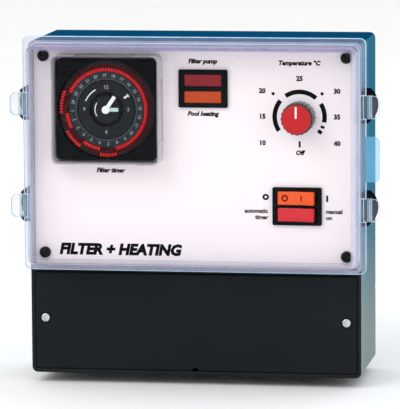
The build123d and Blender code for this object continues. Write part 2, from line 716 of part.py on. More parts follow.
def tappet(index):
    """One switching tappet, with its high step inwards, or outwards once it is set."""
    is_out = any(index in group for group in TAPPETS_OUT)
    inner = TAPPET_INNER_R + (TAPPET_SHIFT if is_out else 0.0)
    outer = inner + TAPPET_L
    base = DIAL_BACK + DIAL_RIM_T
    half = TAPPET_W / 2
    low = block(inner, outer, base, base + TAPPET_LOW_T, -half, half)
    step = (outer - TAPPET_HIGH_L, outer) if is_out else (inner, inner + TAPPET_HIGH_L)
    high = block(step[0], step[1], base, base + TAPPET_HIGH_T, -half, half)
    turn = Rot(0, -index * 360 / TAPPET_COUNT, 0)
    return Pos(TIMER_X, 0, TIMER_Z) * turn * (low + high)


def clock_face():
    """Fixed clock face inside the 24-hour ring."""
    hole = HOUR_TUBE_R + RUNNING_CLEARANCE
    return tube(TIMER_X, TIMER_Z, FACE_R, hole, FACE_BACK, FACE_FRONT)


def hand(length, width, back, degrees):
    """Flat clock hand that points at an angle counted up from the right."""
    bar = block(0, length, back, back + HAND_T, -width / 2, width / 2)
    return Pos(TIMER_X, 0, TIMER_Z) * Rot(0, -degrees, 0) * bar


def hour_hand():
    """Hour hand on its tube."""
    disc = rod(TIMER_X, TIMER_Z, HUB_R, HOUR_BACK, HOUR_BACK + HAND_T)
    stem = rod(TIMER_X, TIMER_Z, HOUR_TUBE_R, MOVEMENT_FRONT - TUBE_BITE, HOUR_BACK + HAND_T)
    bore = rod(TIMER_X, TIMER_Z, ARBOR_R + RUNNING_CLEARANCE, MOVEMENT_FRONT - TUBE_BITE - 1, HOUR_BACK + 1)
    return hand(HOUR_L, HOUR_W, HOUR_BACK, 0) + disc + stem - bore


def minute_hand():
    """Minute hand with its round hub."""
    hub = rod(TIMER_X, TIMER_Z, HUB_R, MINUTE_BACK, MINUTE_BACK + 2 * HAND_T)
    return hand(MINUTE_L, MINUTE_W, MINUTE_BACK, MINUTE_DEG) + hub - minute_arbor()


def minute_arbor():
    """Steel arbor that turns the minute hand."""
    return rod(TIMER_X, TIMER_Z, ARBOR_R, MOVEMENT_FRONT - ARBOR_BITE, MINUTE_BACK + HAND_T)


def timer_movement():
    """Sealed gear case behind the dial."""
    body = centred(TIMER_X, TIMER_Z, MOVEMENT_W, MOVEMENT_W, MOVEMENT_BACK, MOVEMENT_FRONT, 2.0)
    hole = HOUR_TUBE_R + RUNNING_CLEARANCE
    return body - rod(TIMER_X, TIMER_Z, hole, MOVEMENT_FRONT - ARBOR_BITE - 1, MOVEMENT_FRONT + 1)


def timer_motor():
    """Synchronous motor can with its mounting flange."""
    x = TIMER_X - MOTOR_R / 3
    can = rod(x, TIMER_Z, MOTOR_R, MOVEMENT_BACK - MOTOR_T, MOVEMENT_BACK)
    w = 2 * (MOTOR_R + MOTOR_FLANGE_REACH)
    back = MOVEMENT_BACK - MOTOR_FLANGE_T
    flange = centred(x, TIMER_Z, w, MOTOR_FLANGE_H, back, MOVEMENT_BACK, MOTOR_FLANGE_H / 3)
    return can + flange


def timer_switch():
    """Changeover switch that the tappets work, beside the motor."""
    x0 = TIMER_X + MOTOR_R * 2 / 3 + SWITCH_GAP
    x1 = TIMER_X + TIMER_BODY_W / 2 - TIMER_SHELL - SWITCH_GAP
    z = TIMER_Z - SWITCH_DROP
    return centred((x0 + x1) / 2, z, x1 - x0, SWITCH_H, MOVEMENT_BACK - MOTOR_T, MOVEMENT_BACK)


def timer_tabs():
    """Widths of the timer's connection tabs."""
    return [TIMER_X + (i - (TIMER_TAB_COUNT - 1) / 2) * TIMER_TAB_PITCH for i in range(TIMER_TAB_COUNT)]


def timer_back_cover():
    """Rear cover of the timer case, slotted for the tabs."""
    back = TIMER_BODY_BACK - TIMER_BACK_T
    plate = centred(TIMER_X, TIMER_Z, TIMER_BODY_W, TIMER_BODY_W, back, TIMER_BODY_BACK, TIMER_FRAME_R)
    for x in timer_tabs():
        plate -= centred(x, TIMER_Z, TAB_T, TAB_W, back - 1, TIMER_BODY_BACK + 1)
    return plate


def timer_clamp_frame():
    """Frame pushed over the case from behind, which clamps the timer to the panel."""
    gap = TIMER_BODY_W + 2 * PILOT_CLEARANCE
    back = PANEL_BACK - CLAMP_T
    ring = centred(TIMER_X, TIMER_Z, CLAMP_W, CLAMP_W, back, PANEL_BACK, CLAMP_RING / 2)
    return ring - centred(TIMER_X, TIMER_Z, gap, gap, back - 1, PANEL_BACK + 1, TIMER_FRAME_R)


def tab(x, z, back, seat):
    """Flat brass connection tab from its seat to the back."""
    return centred(x, z, TAB_T, TAB_W, back, seat)


def block_rows(z):
    """Heights of a block's upper and lower rows."""
    return (z + BLOCK_PITCH / 2, z - BLOCK_PITCH / 2)


def block_frame(x, z):
    """Bezel and body of a two-row snap-in block."""
    bezel = centred(x, z, BLOCK_W, BLOCK_H, PANEL_FACE, PANEL_FACE + BLOCK_T, BLOCK_R)
    bezel = fillet(bezel.faces().sort_by(Axis.Y)[0].edges(), BLOCK_EDGE_R)
    return bezel + centred(x, z, BLOCK_BODY_W, BLOCK_BODY_H, BLOCK_BACK, PANEL_FACE)


def rocker_frame():
    """Frame with a well and a pair of pivot holes for each rocker."""
    frame = block_frame(ROCKER_X, ROCKER_Z)
    floor = ROCKER_PIVOT - ROCKER_WELL_DEPTH
    for z in block_rows(ROCKER_Z):
        h = ROCKER_H + 2 * ROCKER_GAP
        frame -= centred(ROCKER_X, z, 2 * ROCKER_WELL_HALF, h, floor, PANEL_FACE + BLOCK_T + 1)
    half = BLOCK_BODY_H
    frame -= post(ROCKER_X, ROCKER_PIVOT, TRUNNION_R + RUNNING_CLEARANCE, ROCKER_Z - half, ROCKER_Z + half)
    for x, z in block_tabs(ROCKER_X, ROCKER_Z, ROCKER_TABS):
        frame -= tab(x, z, BLOCK_BACK - 1, BLOCK_BACK + TAB_L / 2)
    return frame


def rocker(z):
    """Rocker with a shallow valley across its face, resting with its left end pressed."""
    half = ROCKER_W / 2
    rise = ROCKER_VALLEY + half * math.tan(math.radians(ROCKER_TILT))
    foot = half - ROCKER_SKIRT_IN
    face = [(-half, rise), (0, ROCKER_VALLEY), (half, rise)]
    outline = Polyline(*face, (foot, -ROCKER_SKIRT), (-foot, -ROCKER_SKIRT), close=True)
    level = Plane(origin=(0, 0, -ROCKER_H / 2), x_dir=(1, 0, 0), z_dir=(0, 0, 1))
    body = extrude(level * mirror(make_face(outline), about=Plane.XZ), amount=ROCKER_H)
    ends = body.edges().filter_by(Axis.Z).sort_by(Axis.Y)[:2]
    body = fillet(ends, ROCKER_TIP_R)
    body += Cylinder(TRUNNION_R, ROCKER_H + 2 * TRUNNION_L)
    return Pos(ROCKER_X, -ROCKER_PIVOT, z) * Rot(0, 0, -ROCKER_TILT) * body


def block_tabs(x, z, offsets):
    """Positions of a block's connection tabs, at the given offsets along each row."""
    return [(x + dx, row) for dx in offsets for row in block_rows(z)]


def indicator_frame():
    """Frame with a window and a lamp chamber for each lens."""
    frame = block_frame(LAMP_X, LAMP_Z)
    for z in block_rows(LAMP_Z):
        frame -= centred(LAMP_X, z, LENS_W, LENS_H, PANEL_FACE + BLOCK_T - LENS_T, PANEL_FACE + BLOCK_T + 1)
        frame -= centred(LAMP_X, z, LENS_W - 2, LENS_H - 1, LAMP_DEPTH - LAMP_R, PANEL_FACE + BLOCK_T)
    for x, z in block_tabs(LAMP_X, LAMP_Z, LAMP_TABS):
        frame -= tab(x, z, BLOCK_BACK - 1, BLOCK_BACK + TAB_L / 2)
    return frame


def lens(z):
    """Coloured lens, slightly proud of its frame."""
    face = PANEL_FACE + BLOCK_T
    body = centred(LAMP_X, z, LENS_W, LENS_H, face - LENS_T, face + LENS_PROUD)
    return chamfer(body.faces().sort_by(Axis.Y)[0].edges(), LENS_PROUD * 0.9)


def lamp(z):
    """Glow lamp lying along its chamber."""
    return Pos(LAMP_X, -LAMP_DEPTH, z) * Rot(0, 90, 0) * Cylinder(LAMP_R, LAMP_L)


def knob_body():
    """Fluted knob skirt with a recess over the nut and a bore for the shaft."""
    body = rod(KNOB_X, KNOB_Z, KNOB_R, KNOB_BACK, CAP_BACK)
    for i in range(KNOB_FLUTES):
        a = 2 * math.pi * (i + 0.5) / KNOB_FLUTES
        x = KNOB_X + (KNOB_R + KNOB_FLUTE_R / 2) * math.cos(a)
        z = KNOB_Z + (KNOB_R + KNOB_FLUTE_R / 2) * math.sin(a)
        body -= rod(x, z, KNOB_FLUTE_R, KNOB_BACK - 1, CAP_BACK + 1)
    body -= rod(KNOB_X, KNOB_Z, KNOB_RECESS_R, KNOB_BACK - 1, KNOB_BACK + KNOB_RECESS_T)
    return body - potentiometer_shaft()


def knob_cap():
    """Coloured cap on the knob, with a groove for the pointer."""
    cap = rod(KNOB_X, KNOB_Z, CAP_R, CAP_BACK, CAP_FACE)
    cap = fillet(cap.faces().sort_by(Axis.Y)[0].edges(), CAP_EDGE_R)
    return cap - knob_pointer()


def knob_pointer():
    """White line let into the cap, pointing up."""
    z = KNOB_Z + CAP_R - CAP_EDGE_R - POINTER_SET - POINTER_L / 2
    return centred(KNOB_X, z, POINTER_W, POINTER_L, CAP_FACE - POINTER_T, CAP_FACE)


def potentiometer_shaft():
    """Shaft that the knob is pressed on."""
    return rod(KNOB_X, KNOB_Z, SHAFT_R, POT_BACK + POT_FLOOR, KNOB_BACK + SHAFT_BITE)


def potentiometer():
    """Potentiometer can with its bush through the panel."""
    body = rod(KNOB_X, KNOB_Z, POT_R, POT_BACK, PANEL_BACK)
    body += rod(KNOB_X, KNOB_Z, BUSH_R, PANEL_BACK - 1, PANEL_FACE + NUT_T)
    floor = POT_BACK + POT_FLOOR - RUNNING_CLEARANCE
    return body - rod(KNOB_X, KNOB_Z, SHAFT_R + RUNNING_CLEARANCE, floor, PANEL_FACE + NUT_T + 1)


def potentiometer_nut():
    """Hexagon nut on the bush, under the knob."""
    outline = front(KNOB_X, PANEL_FACE, KNOB_Z) * RegularPolygon(NUT_AF / 2, 6, major_radius=False)
    hole = rod(KNOB_X, KNOB_Z, BUSH_R, PANEL_FACE - 1, PANEL_FACE + NUT_T + 1)
    return extrude(outline, amount=NUT_T) - hole


def circuit_board():
    """Board on four posts."""
    board = centred(BOARD_X, BOARD_Z, BOARD_W, BOARD_H, BOARD_BACK, BOARD_FACE, BOARD_CORNER_R)
    for x, z in board_holes():
        board -= rod(x, z, BOARD_SCREW_R + HOLE_CLEARANCE, BOARD_BACK - 1, BOARD_FACE + 1)
    return board


def board_screw(x, z):
    """Pan screw that holds the board."""
    head = rod(x, z, BOARD_SCREW_HEAD_R, BOARD_FACE, BOARD_FACE + BOARD_SCREW_HEAD_T)
    return head + rod(x, z, BOARD_SCREW_R, BOARD_BACK - BOARD_SCREW_BITE, BOARD_FACE)


def on_board(place, w, h, t, r=PART_EDGE_R):
    """Block standing on the board at an offset from the board's centre."""
    return centred(BOARD_X + place[0], BOARD_Z + place[1], w, h, BOARD_FACE, BOARD_FACE + t, r)


def transformer_coil():
    """Wound bobbin through the transformer's core."""
    return on_board(TRANSFORMER_PLACE, COIL_W, COIL_H, COIL_T, COIL_EDGE_R)


def transformer_core():
    """Laminated core round the bobbin."""
    dx, dz = TRANSFORMER_PLACE
    d0 = BOARD_FACE + (COIL_T - CORE_T) / 2
    return centred(BOARD_X + dx, BOARD_Z + dz, CORE_W, CORE_H, d0, d0 + CORE_T) - transformer_coil()


def capacitor():
    """Smoothing capacitor standing on the board."""
    dx, dz = CAPACITOR_PLACE
    return rod(BOARD_X + dx, BOARD_Z + dz, CAPACITOR_R, BOARD_FACE, BOARD_FACE + CAPACITOR_T)


def board_terminals():
    """Row of screw terminals along the board's lower edge."""
    dx, dz = BOARD_TERMINALS_PLACE
    w = BOARD_TERMINAL_WAYS * BOARD_TERMINAL_PITCH
    strip = on_board(BOARD_TERMINALS_PLACE, w, BOARD_TERMINAL_H, BOARD_TERMINAL_T)
    top = BOARD_FACE + BOARD_TERMINAL_T
    for i in range(BOARD_TERMINAL_WAYS):
        x = BOARD_X + dx + (i - (BOARD_TERMINAL_WAYS - 1) / 2) * BOARD_TERMINAL_PITCH
        strip -= rod(x, BOARD_Z + dz, BOARD_TERMINAL_HOLE_R, top - BOARD_TERMINAL_HOLE_R, top + 1)
    return strip


def fuse():
    """Glass cartridge fuse with its two end caps."""
    dx, dz = FUSE_PLACE
    return Pos(BOARD_X + dx, -BOARD_FACE - FUSE_LIFT, BOARD_Z + dz) * Rot(0, 90, 0) * Cylinder(FUSE_R, FUSE_L)


def fuse_holder():
    """Two spring clips on a base, round the fuse's ends."""
    dx, dz = FUSE_PLACE
    h = 2 * (FUSE_R + CLIP_WALL)
    holder = on_board(FUSE_PLACE, FUSE_L + CLIP_W, h, FUSE_BASE_T, 0.0)
    for side in (-1, 1):
        place = (dx + side * (FUSE_L / 2 - CLIP_SET), dz)
        holder += on_board(place, CLIP_W, h, FUSE_LIFT + 1, 0.0)
    return holder - fuse()


def strip_ways():
    """Widths of the terminal strip's ways."""
    return [(i - (STRIP_WAYS - 1) / 2) * STRIP_PITCH for i in range(STRIP_WAYS)]


def strip_screws():
    """Widths and heights of the terminal strip's clamping screws."""
    return [(x, STRIP_Z + dz) for x in strip_ways() for dz in (-STRIP_H / 4, STRIP_H / 4)]


def terminal_strip():
    """Mains terminal strip with a recess over each screw and a wire hole through each way."""
    top = BACK + STRIP_T
    strip = centred(0, STRIP_Z, STRIP_WAYS * STRIP_PITCH, STRIP_H, BACK, top)
    floor = top - STRIP_SLIT_DEPTH
    for x in strip_ways()[1:]:
        strip -= centred(x - STRIP_PITCH / 2, STRIP_Z, STRIP_SLIT_W, STRIP_H + 2, floor, top + 1)
    for x, z in strip_screws():
        strip -= rod(x, z, STRIP_SCREW_R + HOLE_CLEARANCE, top - STRIP_SCREW_DEPTH, top + 1)
    for x in strip_ways():
        strip -= post(x, BACK + STRIP_WIRE_LIFT, STRIP_WIRE_R, STRIP_Z - STRIP_H, STRIP_Z + STRIP_H)
    return strip


def strip_screw(x, z):
    """Slotted clamping screw in the terminal strip."""
    top = BACK + STRIP_T - STRIP_SCREW_SET
    screw = rod(x, z, STRIP_SCREW_R, BACK + STRIP_T - STRIP_SCREW_DEPTH, top)
    return screw - centred(x, z, 2 * STRIP_SCREW_R + 1, SLOT_W, top - SLOT_DEPTH, top + 1)


def earth_screws():
    """Widths of the earth bar's screws."""
    return [(i - (EARTH_WAYS - 1) / 2) * EARTH_PITCH for i in range(EARTH_WAYS)]


def earth_bar():
    """Brass earth bar on two feet, bored for its screws."""
    bar = centred(0, EARTH_Z, EARTH_W, EARTH_H, EARTH_TOP - EARTH_T, EARTH_TOP, PART_EDGE_R)
    for side in (-1, 1):
        x = side * (EARTH_W - EARTH_FOOT_W) / 2
        bar += centred(x, EARTH_Z, EARTH_FOOT_W - 1, EARTH_H - 2, BACK, EARTH_TOP - 1)
    for x in earth_screws():
        bar -= rod(x, EARTH_Z, EARTH_SCREW_R, EARTH_TOP - EARTH_SCREW_L, EARTH_TOP + 1)
    return bar


def earth_screw(x):
    """Slotted screw in the earth bar."""
    top = EARTH_TOP + EARTH_HEAD_T
    screw = rod(x, EARTH_Z, EARTH_SCREW_R, EARTH_TOP - EARTH_SCREW_L, EARTH_TOP)
    screw += rod(x, EARTH_Z, EARTH_HEAD_R, EARTH_TOP, top)
    return screw - centred(x, EARTH_Z, 2 * EARTH_HEAD_R + 1, SLOT_W, top - SLOT_DEPTH, top + 1)


def save_housing():
    """Housing, covers, panel, seal and cable entries."""
    save("housing_base", housing_base())
    save("front_panel", front_panel())
    save("panel_screws", *[panel_screw(x, z) for x, z in PANEL_SCREWS])
    save("terminal_cover", terminal_cover())
    save("terminal_cover_screws", *[cover_screw(x, z) for x, z in COVER_SCREWS])
    save("lid_gasket", lid_gasket())
    save("cable_grommets", *[grommet(x) for x in entry_positions()])


def save_lid():
    """Lid, its brackets and its pins."""
    save("clear_lid", clear_lid())
    for name, side in (("hinge", -1), ("catch", 1)):
        save(name + "_brackets", *[bracket(side, z) for z in LUG_HEIGHTS])
        save(name + "_pins", *[pin(side, z) for z in LUG_HEIGHTS])


def save_timer():
    """Timer switch: case, dial, hands and works."""
    back = TIMER_BODY_BACK - TIMER_BACK_T - TAB_L
    save("timer_case", timer_case())
    save("timer_back_cover", timer_back_cover())
    save("timer_clamp_frame", timer_clamp_frame())
    save("timer_dust_cover", timer_dust_cover())
    save("timer_clock_face", clock_face())
    save("timer_movement", timer_movement())
    save("timer_motor", timer_motor())
    save("timer_switch", timer_switch())
    save("timer_terminals", *[tab(x, TIMER_Z, back, TIMER_BODY_BACK) for x in timer_tabs()])
    save("timer_dial_ring", dial_ring())
    save("timer_tappets", *[tappet(i) for i in range(TAPPET_COUNT)])
    save("timer_hour_hand", hour_hand())
    save("timer_minute_hand", minute_hand())
    save("timer_minute_arbor", minute_arbor())


def save_controls():
    """Rocker switches, indicator lamps and temperature knob."""
    back = BLOCK_BACK - TAB_L
    seat = BLOCK_BACK + TAB_L / 2
    upper, lower = block_rows(ROCKER_Z)
    save("rocker_frame", rocker_frame())
    save("filter_rocker", rocker(upper))
    save("mode_rocker", rocker(lower))
    save("rocker_terminals", *[tab(x, z, back, seat) for x, z in block_tabs(ROCKER_X, ROCKER_Z, ROCKER_TABS)])
    upper, lower = block_rows(LAMP_Z)
    save("indicator_frame", indicator_frame())
    save("filter_lens", lens(upper))
    save("heating_lens", lens(lower))
    save("indicator_lamps", lamp(upper), lamp(lower))
    save("indicator_terminals", *[tab(x, z, back, seat) for x, z in block_tabs(LAMP_X, LAMP_Z, LAMP_TABS)])
    save("knob_body", knob_body())
    save("knob_cap", knob_cap())
    save("knob_pointer", knob_pointer())
    save("potentiometer_shaft", potentiometer_shaft())
    save("potentiometer", potentiometer())
    save("potentiometer_nut", potentiometer_nut())


def save_electronics():
    """Circuit board with its parts, and the mains terminals."""
    save("circuit_board", circuit_board())
    save("board_screws", *[board_screw(x, z) for x, z in board_holes()])
    save("filter_relay", on_board(FILTER_RELAY_PLACE, RELAY_W, RELAY_H, RELAY_T))
    save("heating_relay", on_board(HEATING_RELAY_PLACE, RELAY_W, RELAY_H, RELAY_T))
    save("transformer_coil", transformer_coil())
    save("transformer_core", transformer_core())
    save("capacitor", capacitor())
    save("board_terminals", board_terminals())
    save("fuse_holder", fuse_holder())
    save("fuse", fuse())
    save("terminal_strip", terminal_strip())
    save("terminal_strip_screws", *[strip_screw(x, z) for x, z in strip_screws()])
    save("earth_bar", earth_bar())
    save("earth_bar_screws", *[earth_screw(x) for x in earth_screws()])


os.makedirs("parts", exist_ok=True)
save_housing()
save_lid()
save_timer()
save_controls()
save_electronics()
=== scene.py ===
"""Looks of a pool filter and heating control unit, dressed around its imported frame.

Lengths are in metres unless a name ends in _mm. X runs right, Z up, and the front faces -Y.
A depth is a distance in front of the wall.
"""

import logging
import math
from contextlib import contextmanager
from dataclasses import dataclass, field
from enum import Enum, IntEnum
from typing import Any, Callable, Iterator

import bpy
from mathutils import Matrix, Vector


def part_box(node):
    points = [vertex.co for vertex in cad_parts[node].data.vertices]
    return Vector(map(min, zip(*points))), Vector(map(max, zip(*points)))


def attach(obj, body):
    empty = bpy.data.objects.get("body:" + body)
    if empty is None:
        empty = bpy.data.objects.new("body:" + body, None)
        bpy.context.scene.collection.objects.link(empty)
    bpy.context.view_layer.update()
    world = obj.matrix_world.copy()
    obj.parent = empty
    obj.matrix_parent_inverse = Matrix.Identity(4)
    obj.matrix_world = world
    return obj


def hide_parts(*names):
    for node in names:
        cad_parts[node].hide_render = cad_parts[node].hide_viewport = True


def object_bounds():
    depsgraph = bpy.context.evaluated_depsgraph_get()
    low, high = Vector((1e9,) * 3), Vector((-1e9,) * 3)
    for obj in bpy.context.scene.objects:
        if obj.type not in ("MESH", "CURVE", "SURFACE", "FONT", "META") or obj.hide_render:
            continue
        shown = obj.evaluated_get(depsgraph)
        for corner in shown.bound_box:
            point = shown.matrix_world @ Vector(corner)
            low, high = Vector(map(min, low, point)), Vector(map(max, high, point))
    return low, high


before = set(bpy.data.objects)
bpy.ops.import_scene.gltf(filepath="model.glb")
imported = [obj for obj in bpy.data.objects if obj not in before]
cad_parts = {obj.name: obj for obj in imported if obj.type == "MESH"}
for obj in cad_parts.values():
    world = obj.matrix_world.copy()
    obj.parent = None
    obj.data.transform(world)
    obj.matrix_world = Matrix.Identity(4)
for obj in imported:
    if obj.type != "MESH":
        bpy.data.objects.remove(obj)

MM = 0.001
CAD_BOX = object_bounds()
INK_T = 0.04 * MM
INK_LIFT = 0.01 * MM
FLAT = 0.9999
SMOOTH_DEG = 32
BEVEL_DEG = 38
LEGEND_LEAN = 0.2
BAR_CORNER = 0.2
Colour = tuple[float, float, float, float]
Triple = tuple[float, float, float]
Pair = tuple[float, float]
Node = bpy.types.Node
Tree = bpy.types.NodeTree
Piece = bpy.types.Object
log = logging.getLogger("control_unit")


class Body(Enum):
    """Bodies of the frame that pieces ride on."""

    HOUSING = "housing"
    LID = "lid"
    KNOB = "temperature_knob"
    FILTER_SWITCH = "filter_switch"
    MODE_SWITCH = "mode_switch"
    DIAL = "timer_dial"
    HOUR = "hour_hand"
    MINUTE = "minute_hand"


class Side(Enum):
    """Which edge of a word stands at its place."""

    LEFT = "LEFT"
    MIDDLE = "CENTER"
    RIGHT = "RIGHT"


class ShellSlot(IntEnum):
    """Material slots of the housing's box."""

    BOX = 0
    SIDE = 1
    TOP = 2


class LidSlot(IntEnum):
    """Material slots of the clear lid."""

    WINDOW = 0
    WALL = 1
    FLANGE = 2
    GRIP = 3
    SILL = 4
    EDGE = 5
    CROWN = 6


# --- materials ---


def linear(hex_colour: str) -> Colour:
    """Turn an sRGB hex colour into a linear one.

    Args:
        hex_colour: Six hex digits after a hash.

    Returns:
        Linear red, green, blue and a full alpha.
    """
    parts = [int(hex_colour[i : i + 2], 16) / 255 for i in (1, 3, 5)]
    return (*(p / 12.92 if p <= 0.04045 else ((p + 0.055) / 1.055) ** 2.4 for p in parts), 1.0)


def add_node(tree: Tree, kind: str, settings: dict[Any, Any] | None = None, links: dict[Any, Any] | None = None
             ) -> Node:
    """Add a shader node with its settings and its incoming links.

    Args:
        tree: The material's tree.
        kind: The node's type name.
        settings: Socket names or numbers, or node properties, with their values.
        links: Socket names or numbers with the output that feeds each.

    Returns:
        The new node.
    """
    made = tree.nodes.new(kind)
    for key, value in (settings or {}).items():
        if isinstance(key, int) or key in made.inputs:
            made.inputs[key].default_value = value
        else:
            setattr(made, key, value)
    for key, source in (links or {}).items():
        tree.links.new(source, made.inputs[key])
    return made


@dataclass(frozen=True)
class Finish:
    """Opaque surface with a fine grain in its relief and a faint, broad drift of tone.

    grain_mm is the real size of one grain and drift_mm that of a patch of tone. stretch draws the
    grain out along an axis, as brushing and rolling do.
    """

    name: str
    colour: str
    drift: str
    roughness: float = 0.4
    spread: float = 0.05
    grain_mm: float = 0.8
    relief_mm: float = 0.01
    drift_mm: float = 45.0
    stretch: Triple = (1.0, 1.0, 1.0)
    metallic: float = 0.0
    ior: float = 1.5
    specular: float = 0.5
    coat: float = 0.0

    def material(self) -> bpy.types.Material:
        """Find the material, or make it the first time.

        Returns:
            The material.
        """
        return bpy.data.materials.get(self.name) or self.make()

    def make(self) -> bpy.types.Material:
        """Build the node tree.

        Returns:
            The new material.
        """
        made = bpy.data.materials.new(self.name)
        made.use_nodes = True
        tree = made.node_tree
        shader = tree.nodes["Principled BSDF"]
        place = add_node(tree, "ShaderNodeTexCoord").outputs["Object"]
        drawn = add_node(tree, "ShaderNodeMapping", {"Scale": self.stretch}, {"Vector": place})
        scale = 1 / (self.grain_mm * MM)
        grain = add_node(tree, "ShaderNodeTexNoise", {"Scale": scale, "Detail": 3.0}, {0: drawn.outputs[0]})
        scale = 1 / (self.drift_mm * MM)
        patch = add_node(tree, "ShaderNodeTexNoise", {"Scale": scale, "Detail": 2.0}, {0: place})
        tones = {"data_type": "RGBA", 6: linear(self.colour), 7: linear(self.drift)}
        tone = add_node(tree, "ShaderNodeMix", tones, {0: patch.outputs[0]})
        ends = {"From Min": 0.3, "From Max": 0.7, "To Min": self.roughness - self.spread}
        ends["To Max"] = self.roughness + self.spread
        gloss = add_node(tree, "ShaderNodeMapRange", ends, {"Value": grain.outputs[0]})
        depth = {"Strength": 0.7, "Distance": self.relief_mm * MM}
        relief = add_node(tree, "ShaderNodeBump", depth, {"Height": self.height(tree, place, grain.outputs[0])})
        tree.links.new(self.tinted(tree, place, tone.outputs[2]), shader.inputs["Base Color"])
        tree.links.new(gloss.outputs[0], shader.inputs["Roughness"])
        tree.links.new(relief.outputs[0], shader.inputs["Normal"])
        shader.inputs["Metallic"].default_value = self.metallic
        shader.inputs["IOR"].default_value = self.ior
        shader.inputs["Specular IOR Level"].default_value = self.specular
        shader.inputs["Coat Weight"].default_value = self.coat
        self.extend(tree, shader, grain.outputs[0])
        return made

    def height(self, tree: Tree, place: Any, grain: Any) -> Any:
        """Give the relief its height: the grain itself.

        Args:
            tree: The material's tree.
            place: Object coordinates.
            grain: The grain's socket.

        Returns:
            Socket with the height.
        """
        return grain

    def tinted(self, tree: Tree, place: Any, tone: Any) -> Any:
        """Give the colour: the tone itself.

        Args:
            tree: The material's tree.
            place: Object coordinates.
            tone: The tone's socket.

        Returns:
            Socket with the colour.
        """
        return tone

    def extend(self, tree: Tree, shader: Node, grain: Any) -> None:
        """Add nothing more to a plain finish.

        Args:
            tree: The material's tree.
            shader: The material's shader.
            grain: The grain's socket.
        """


@dataclass(frozen=True)
class Clear(Finish):
    """Clear moulding: nearly unseen face on, and denser where the eye meets it at a slant."""

    facing: float = 0.05
    slanting: float = 0.6

    def extend(self, tree: Tree, shader: Node, grain: Any) -> None:
        """Make the wall see-through.

        Args:
            tree: The material's tree.
            shader: The shader that takes the alpha.
            grain: The grain, which isn't used for the alpha.
        """
        slant = add_node(tree, "ShaderNodeLayerWeight", {"Blend": 0.5})
        ends = {"To Min": self.facing, "To Max": self.slanting}
        alpha = add_node(tree, "ShaderNodeMapRange", ends, {"Value": slant.outputs["Facing"]})
        tree.links.new(alpha.outputs[0], shader.inputs["Alpha"])


@dataclass(frozen=True)
class Ribbed(Finish):
    """Translucent moulding with fine upright ribs that spread the lamp's light, and a faint painted glow of its
    own colour.
    """

    rib_mm: float = 0.9
    glow: float = 0.0

    def height(self, tree: Tree, place: Any, grain: Any) -> Any:
        """Ribs across X.

        Args:
            tree: The material's tree.
            place: Object coordinates.
            grain: The grain that would give the relief.

        Returns:
            Socket with the ribs' height.
        """
        scale = 2 * math.pi / (20 * self.rib_mm * MM)
        ribs = {"bands_direction": "X", "Scale": scale, "Distortion": 0.0}
        return add_node(tree, "ShaderNodeTexWave", ribs, {0: place}).outputs[1]

    def extend(self, tree: Tree, shader: Node, grain: Any) -> None:
        """Paint a faint glow of the plastic's own colour: light scattered in it, painted as emission, with no lamp
        lit.

        Args:
            tree: The material's tree.
            shader: The shader that takes the glow.
            grain: The grain, which isn't used for the glow.
        """
        shader.inputs["Emission Color"].default_value = linear(self.colour)
        shader.inputs["Emission Strength"].default_value = self.glow


@dataclass(frozen=True)
class Skirted(Finish):
    """Moulded wall painted with light: a painted highlight paler along the front rim, and greyer towards its foot.
    """

    rim: str = "#5F8CA2"
    rim_depth: float = 79 * MM
    band: float = 45 * MM
    foot: str = "#87938F"
    foot_z: float = -100 * MM
    foot_end_z: float = 20 * MM

    def tinted(self, tree: Tree, place: Any, tone: Any) -> Any:
        """Blend the rim's painted highlight in towards the front, and the foot's grey downwards.

        Args:
            tree: The material's tree.
            place: Object coordinates.
            tone: The tone of the wall.

        Returns:
            Socket with the blended colour.
        """
        parts = add_node(tree, "ShaderNodeSeparateXYZ", links={0: place})
        ends = {"From Min": self.band - self.rim_depth, "From Max": -self.rim_depth}
        near = add_node(tree, "ShaderNodeMapRange", ends, {"Value": parts.outputs[1]})
        colours = {"data_type": "RGBA", 7: linear(self.rim)}
        rimmed = add_node(tree, "ShaderNodeMix", colours, {0: near.outputs[0], 6: tone})
        ends = {"From Min": self.foot_end_z, "From Max": self.foot_z, "interpolation_type": "SMOOTHSTEP"}
        low = add_node(tree, "ShaderNodeMapRange", ends, {"Value": parts.outputs[2]})
        colours = {"data_type": "RGBA", 7: linear(self.foot)}
        return add_node(tree, "ShaderNodeMix", colours, {0: low.outputs[0], 6: rimmed.outputs[2]}).outputs[2]


# Moulded ABS, spark-eroded mould: a dark satin skin that breaks up the highlights.
HOUSING_ABS = Finish("abs_moulded_anthracite", "#15191B", "#1D2224", 0.42, grain_mm=0.7, specular=0.1)
# The same ABS on the side walls, painted teal for the room's blue light that falls on them, with a painted
# highlight paler at the rim.
SIDE_WALL_PAINTED_LIGHT = Skirted("abs_side_wall_painted_blue_light", "#28637A", "#337088", 0.4, grain_mm=0.7, specular=0.0)
# The top wall of the same ABS, painted a deeper blue for the room's blue light, with a painted highlight a little
# paler at the rim.
TOP_WALL_PAINTED_LIGHT = Skirted(
    "abs_top_wall_painted_blue_light", "#033A5C", "#074A6E",
    0.38, grain_mm=0.7, specular=0.0, rim="#0B567E",
)
# Smoother ABS of the terminal cover: near black with a soft sheen.
COVER_ABS = Finish("abs_moulded_cover", "#15191B", "#1B2023", 0.38, grain_mm=0.5, specular=0.06)
# Polyester laminate with a matt print: warm white, almost flat.
PANEL_LAMINATE = Finish(
    "polyester_laminate_white", "#F1E7EA", "#F4EBEE",
    0.45, grain_mm=0.35, relief_mm=0.003, specular=0.3,
)
# Screen ink: dense black with a slight tooth.
INK_BLACK = Finish(
    "screen_ink_black", "#070607", "#0E0D0E",
    0.6, grain_mm=0.3, relief_mm=0.003, specular=0.05,
)
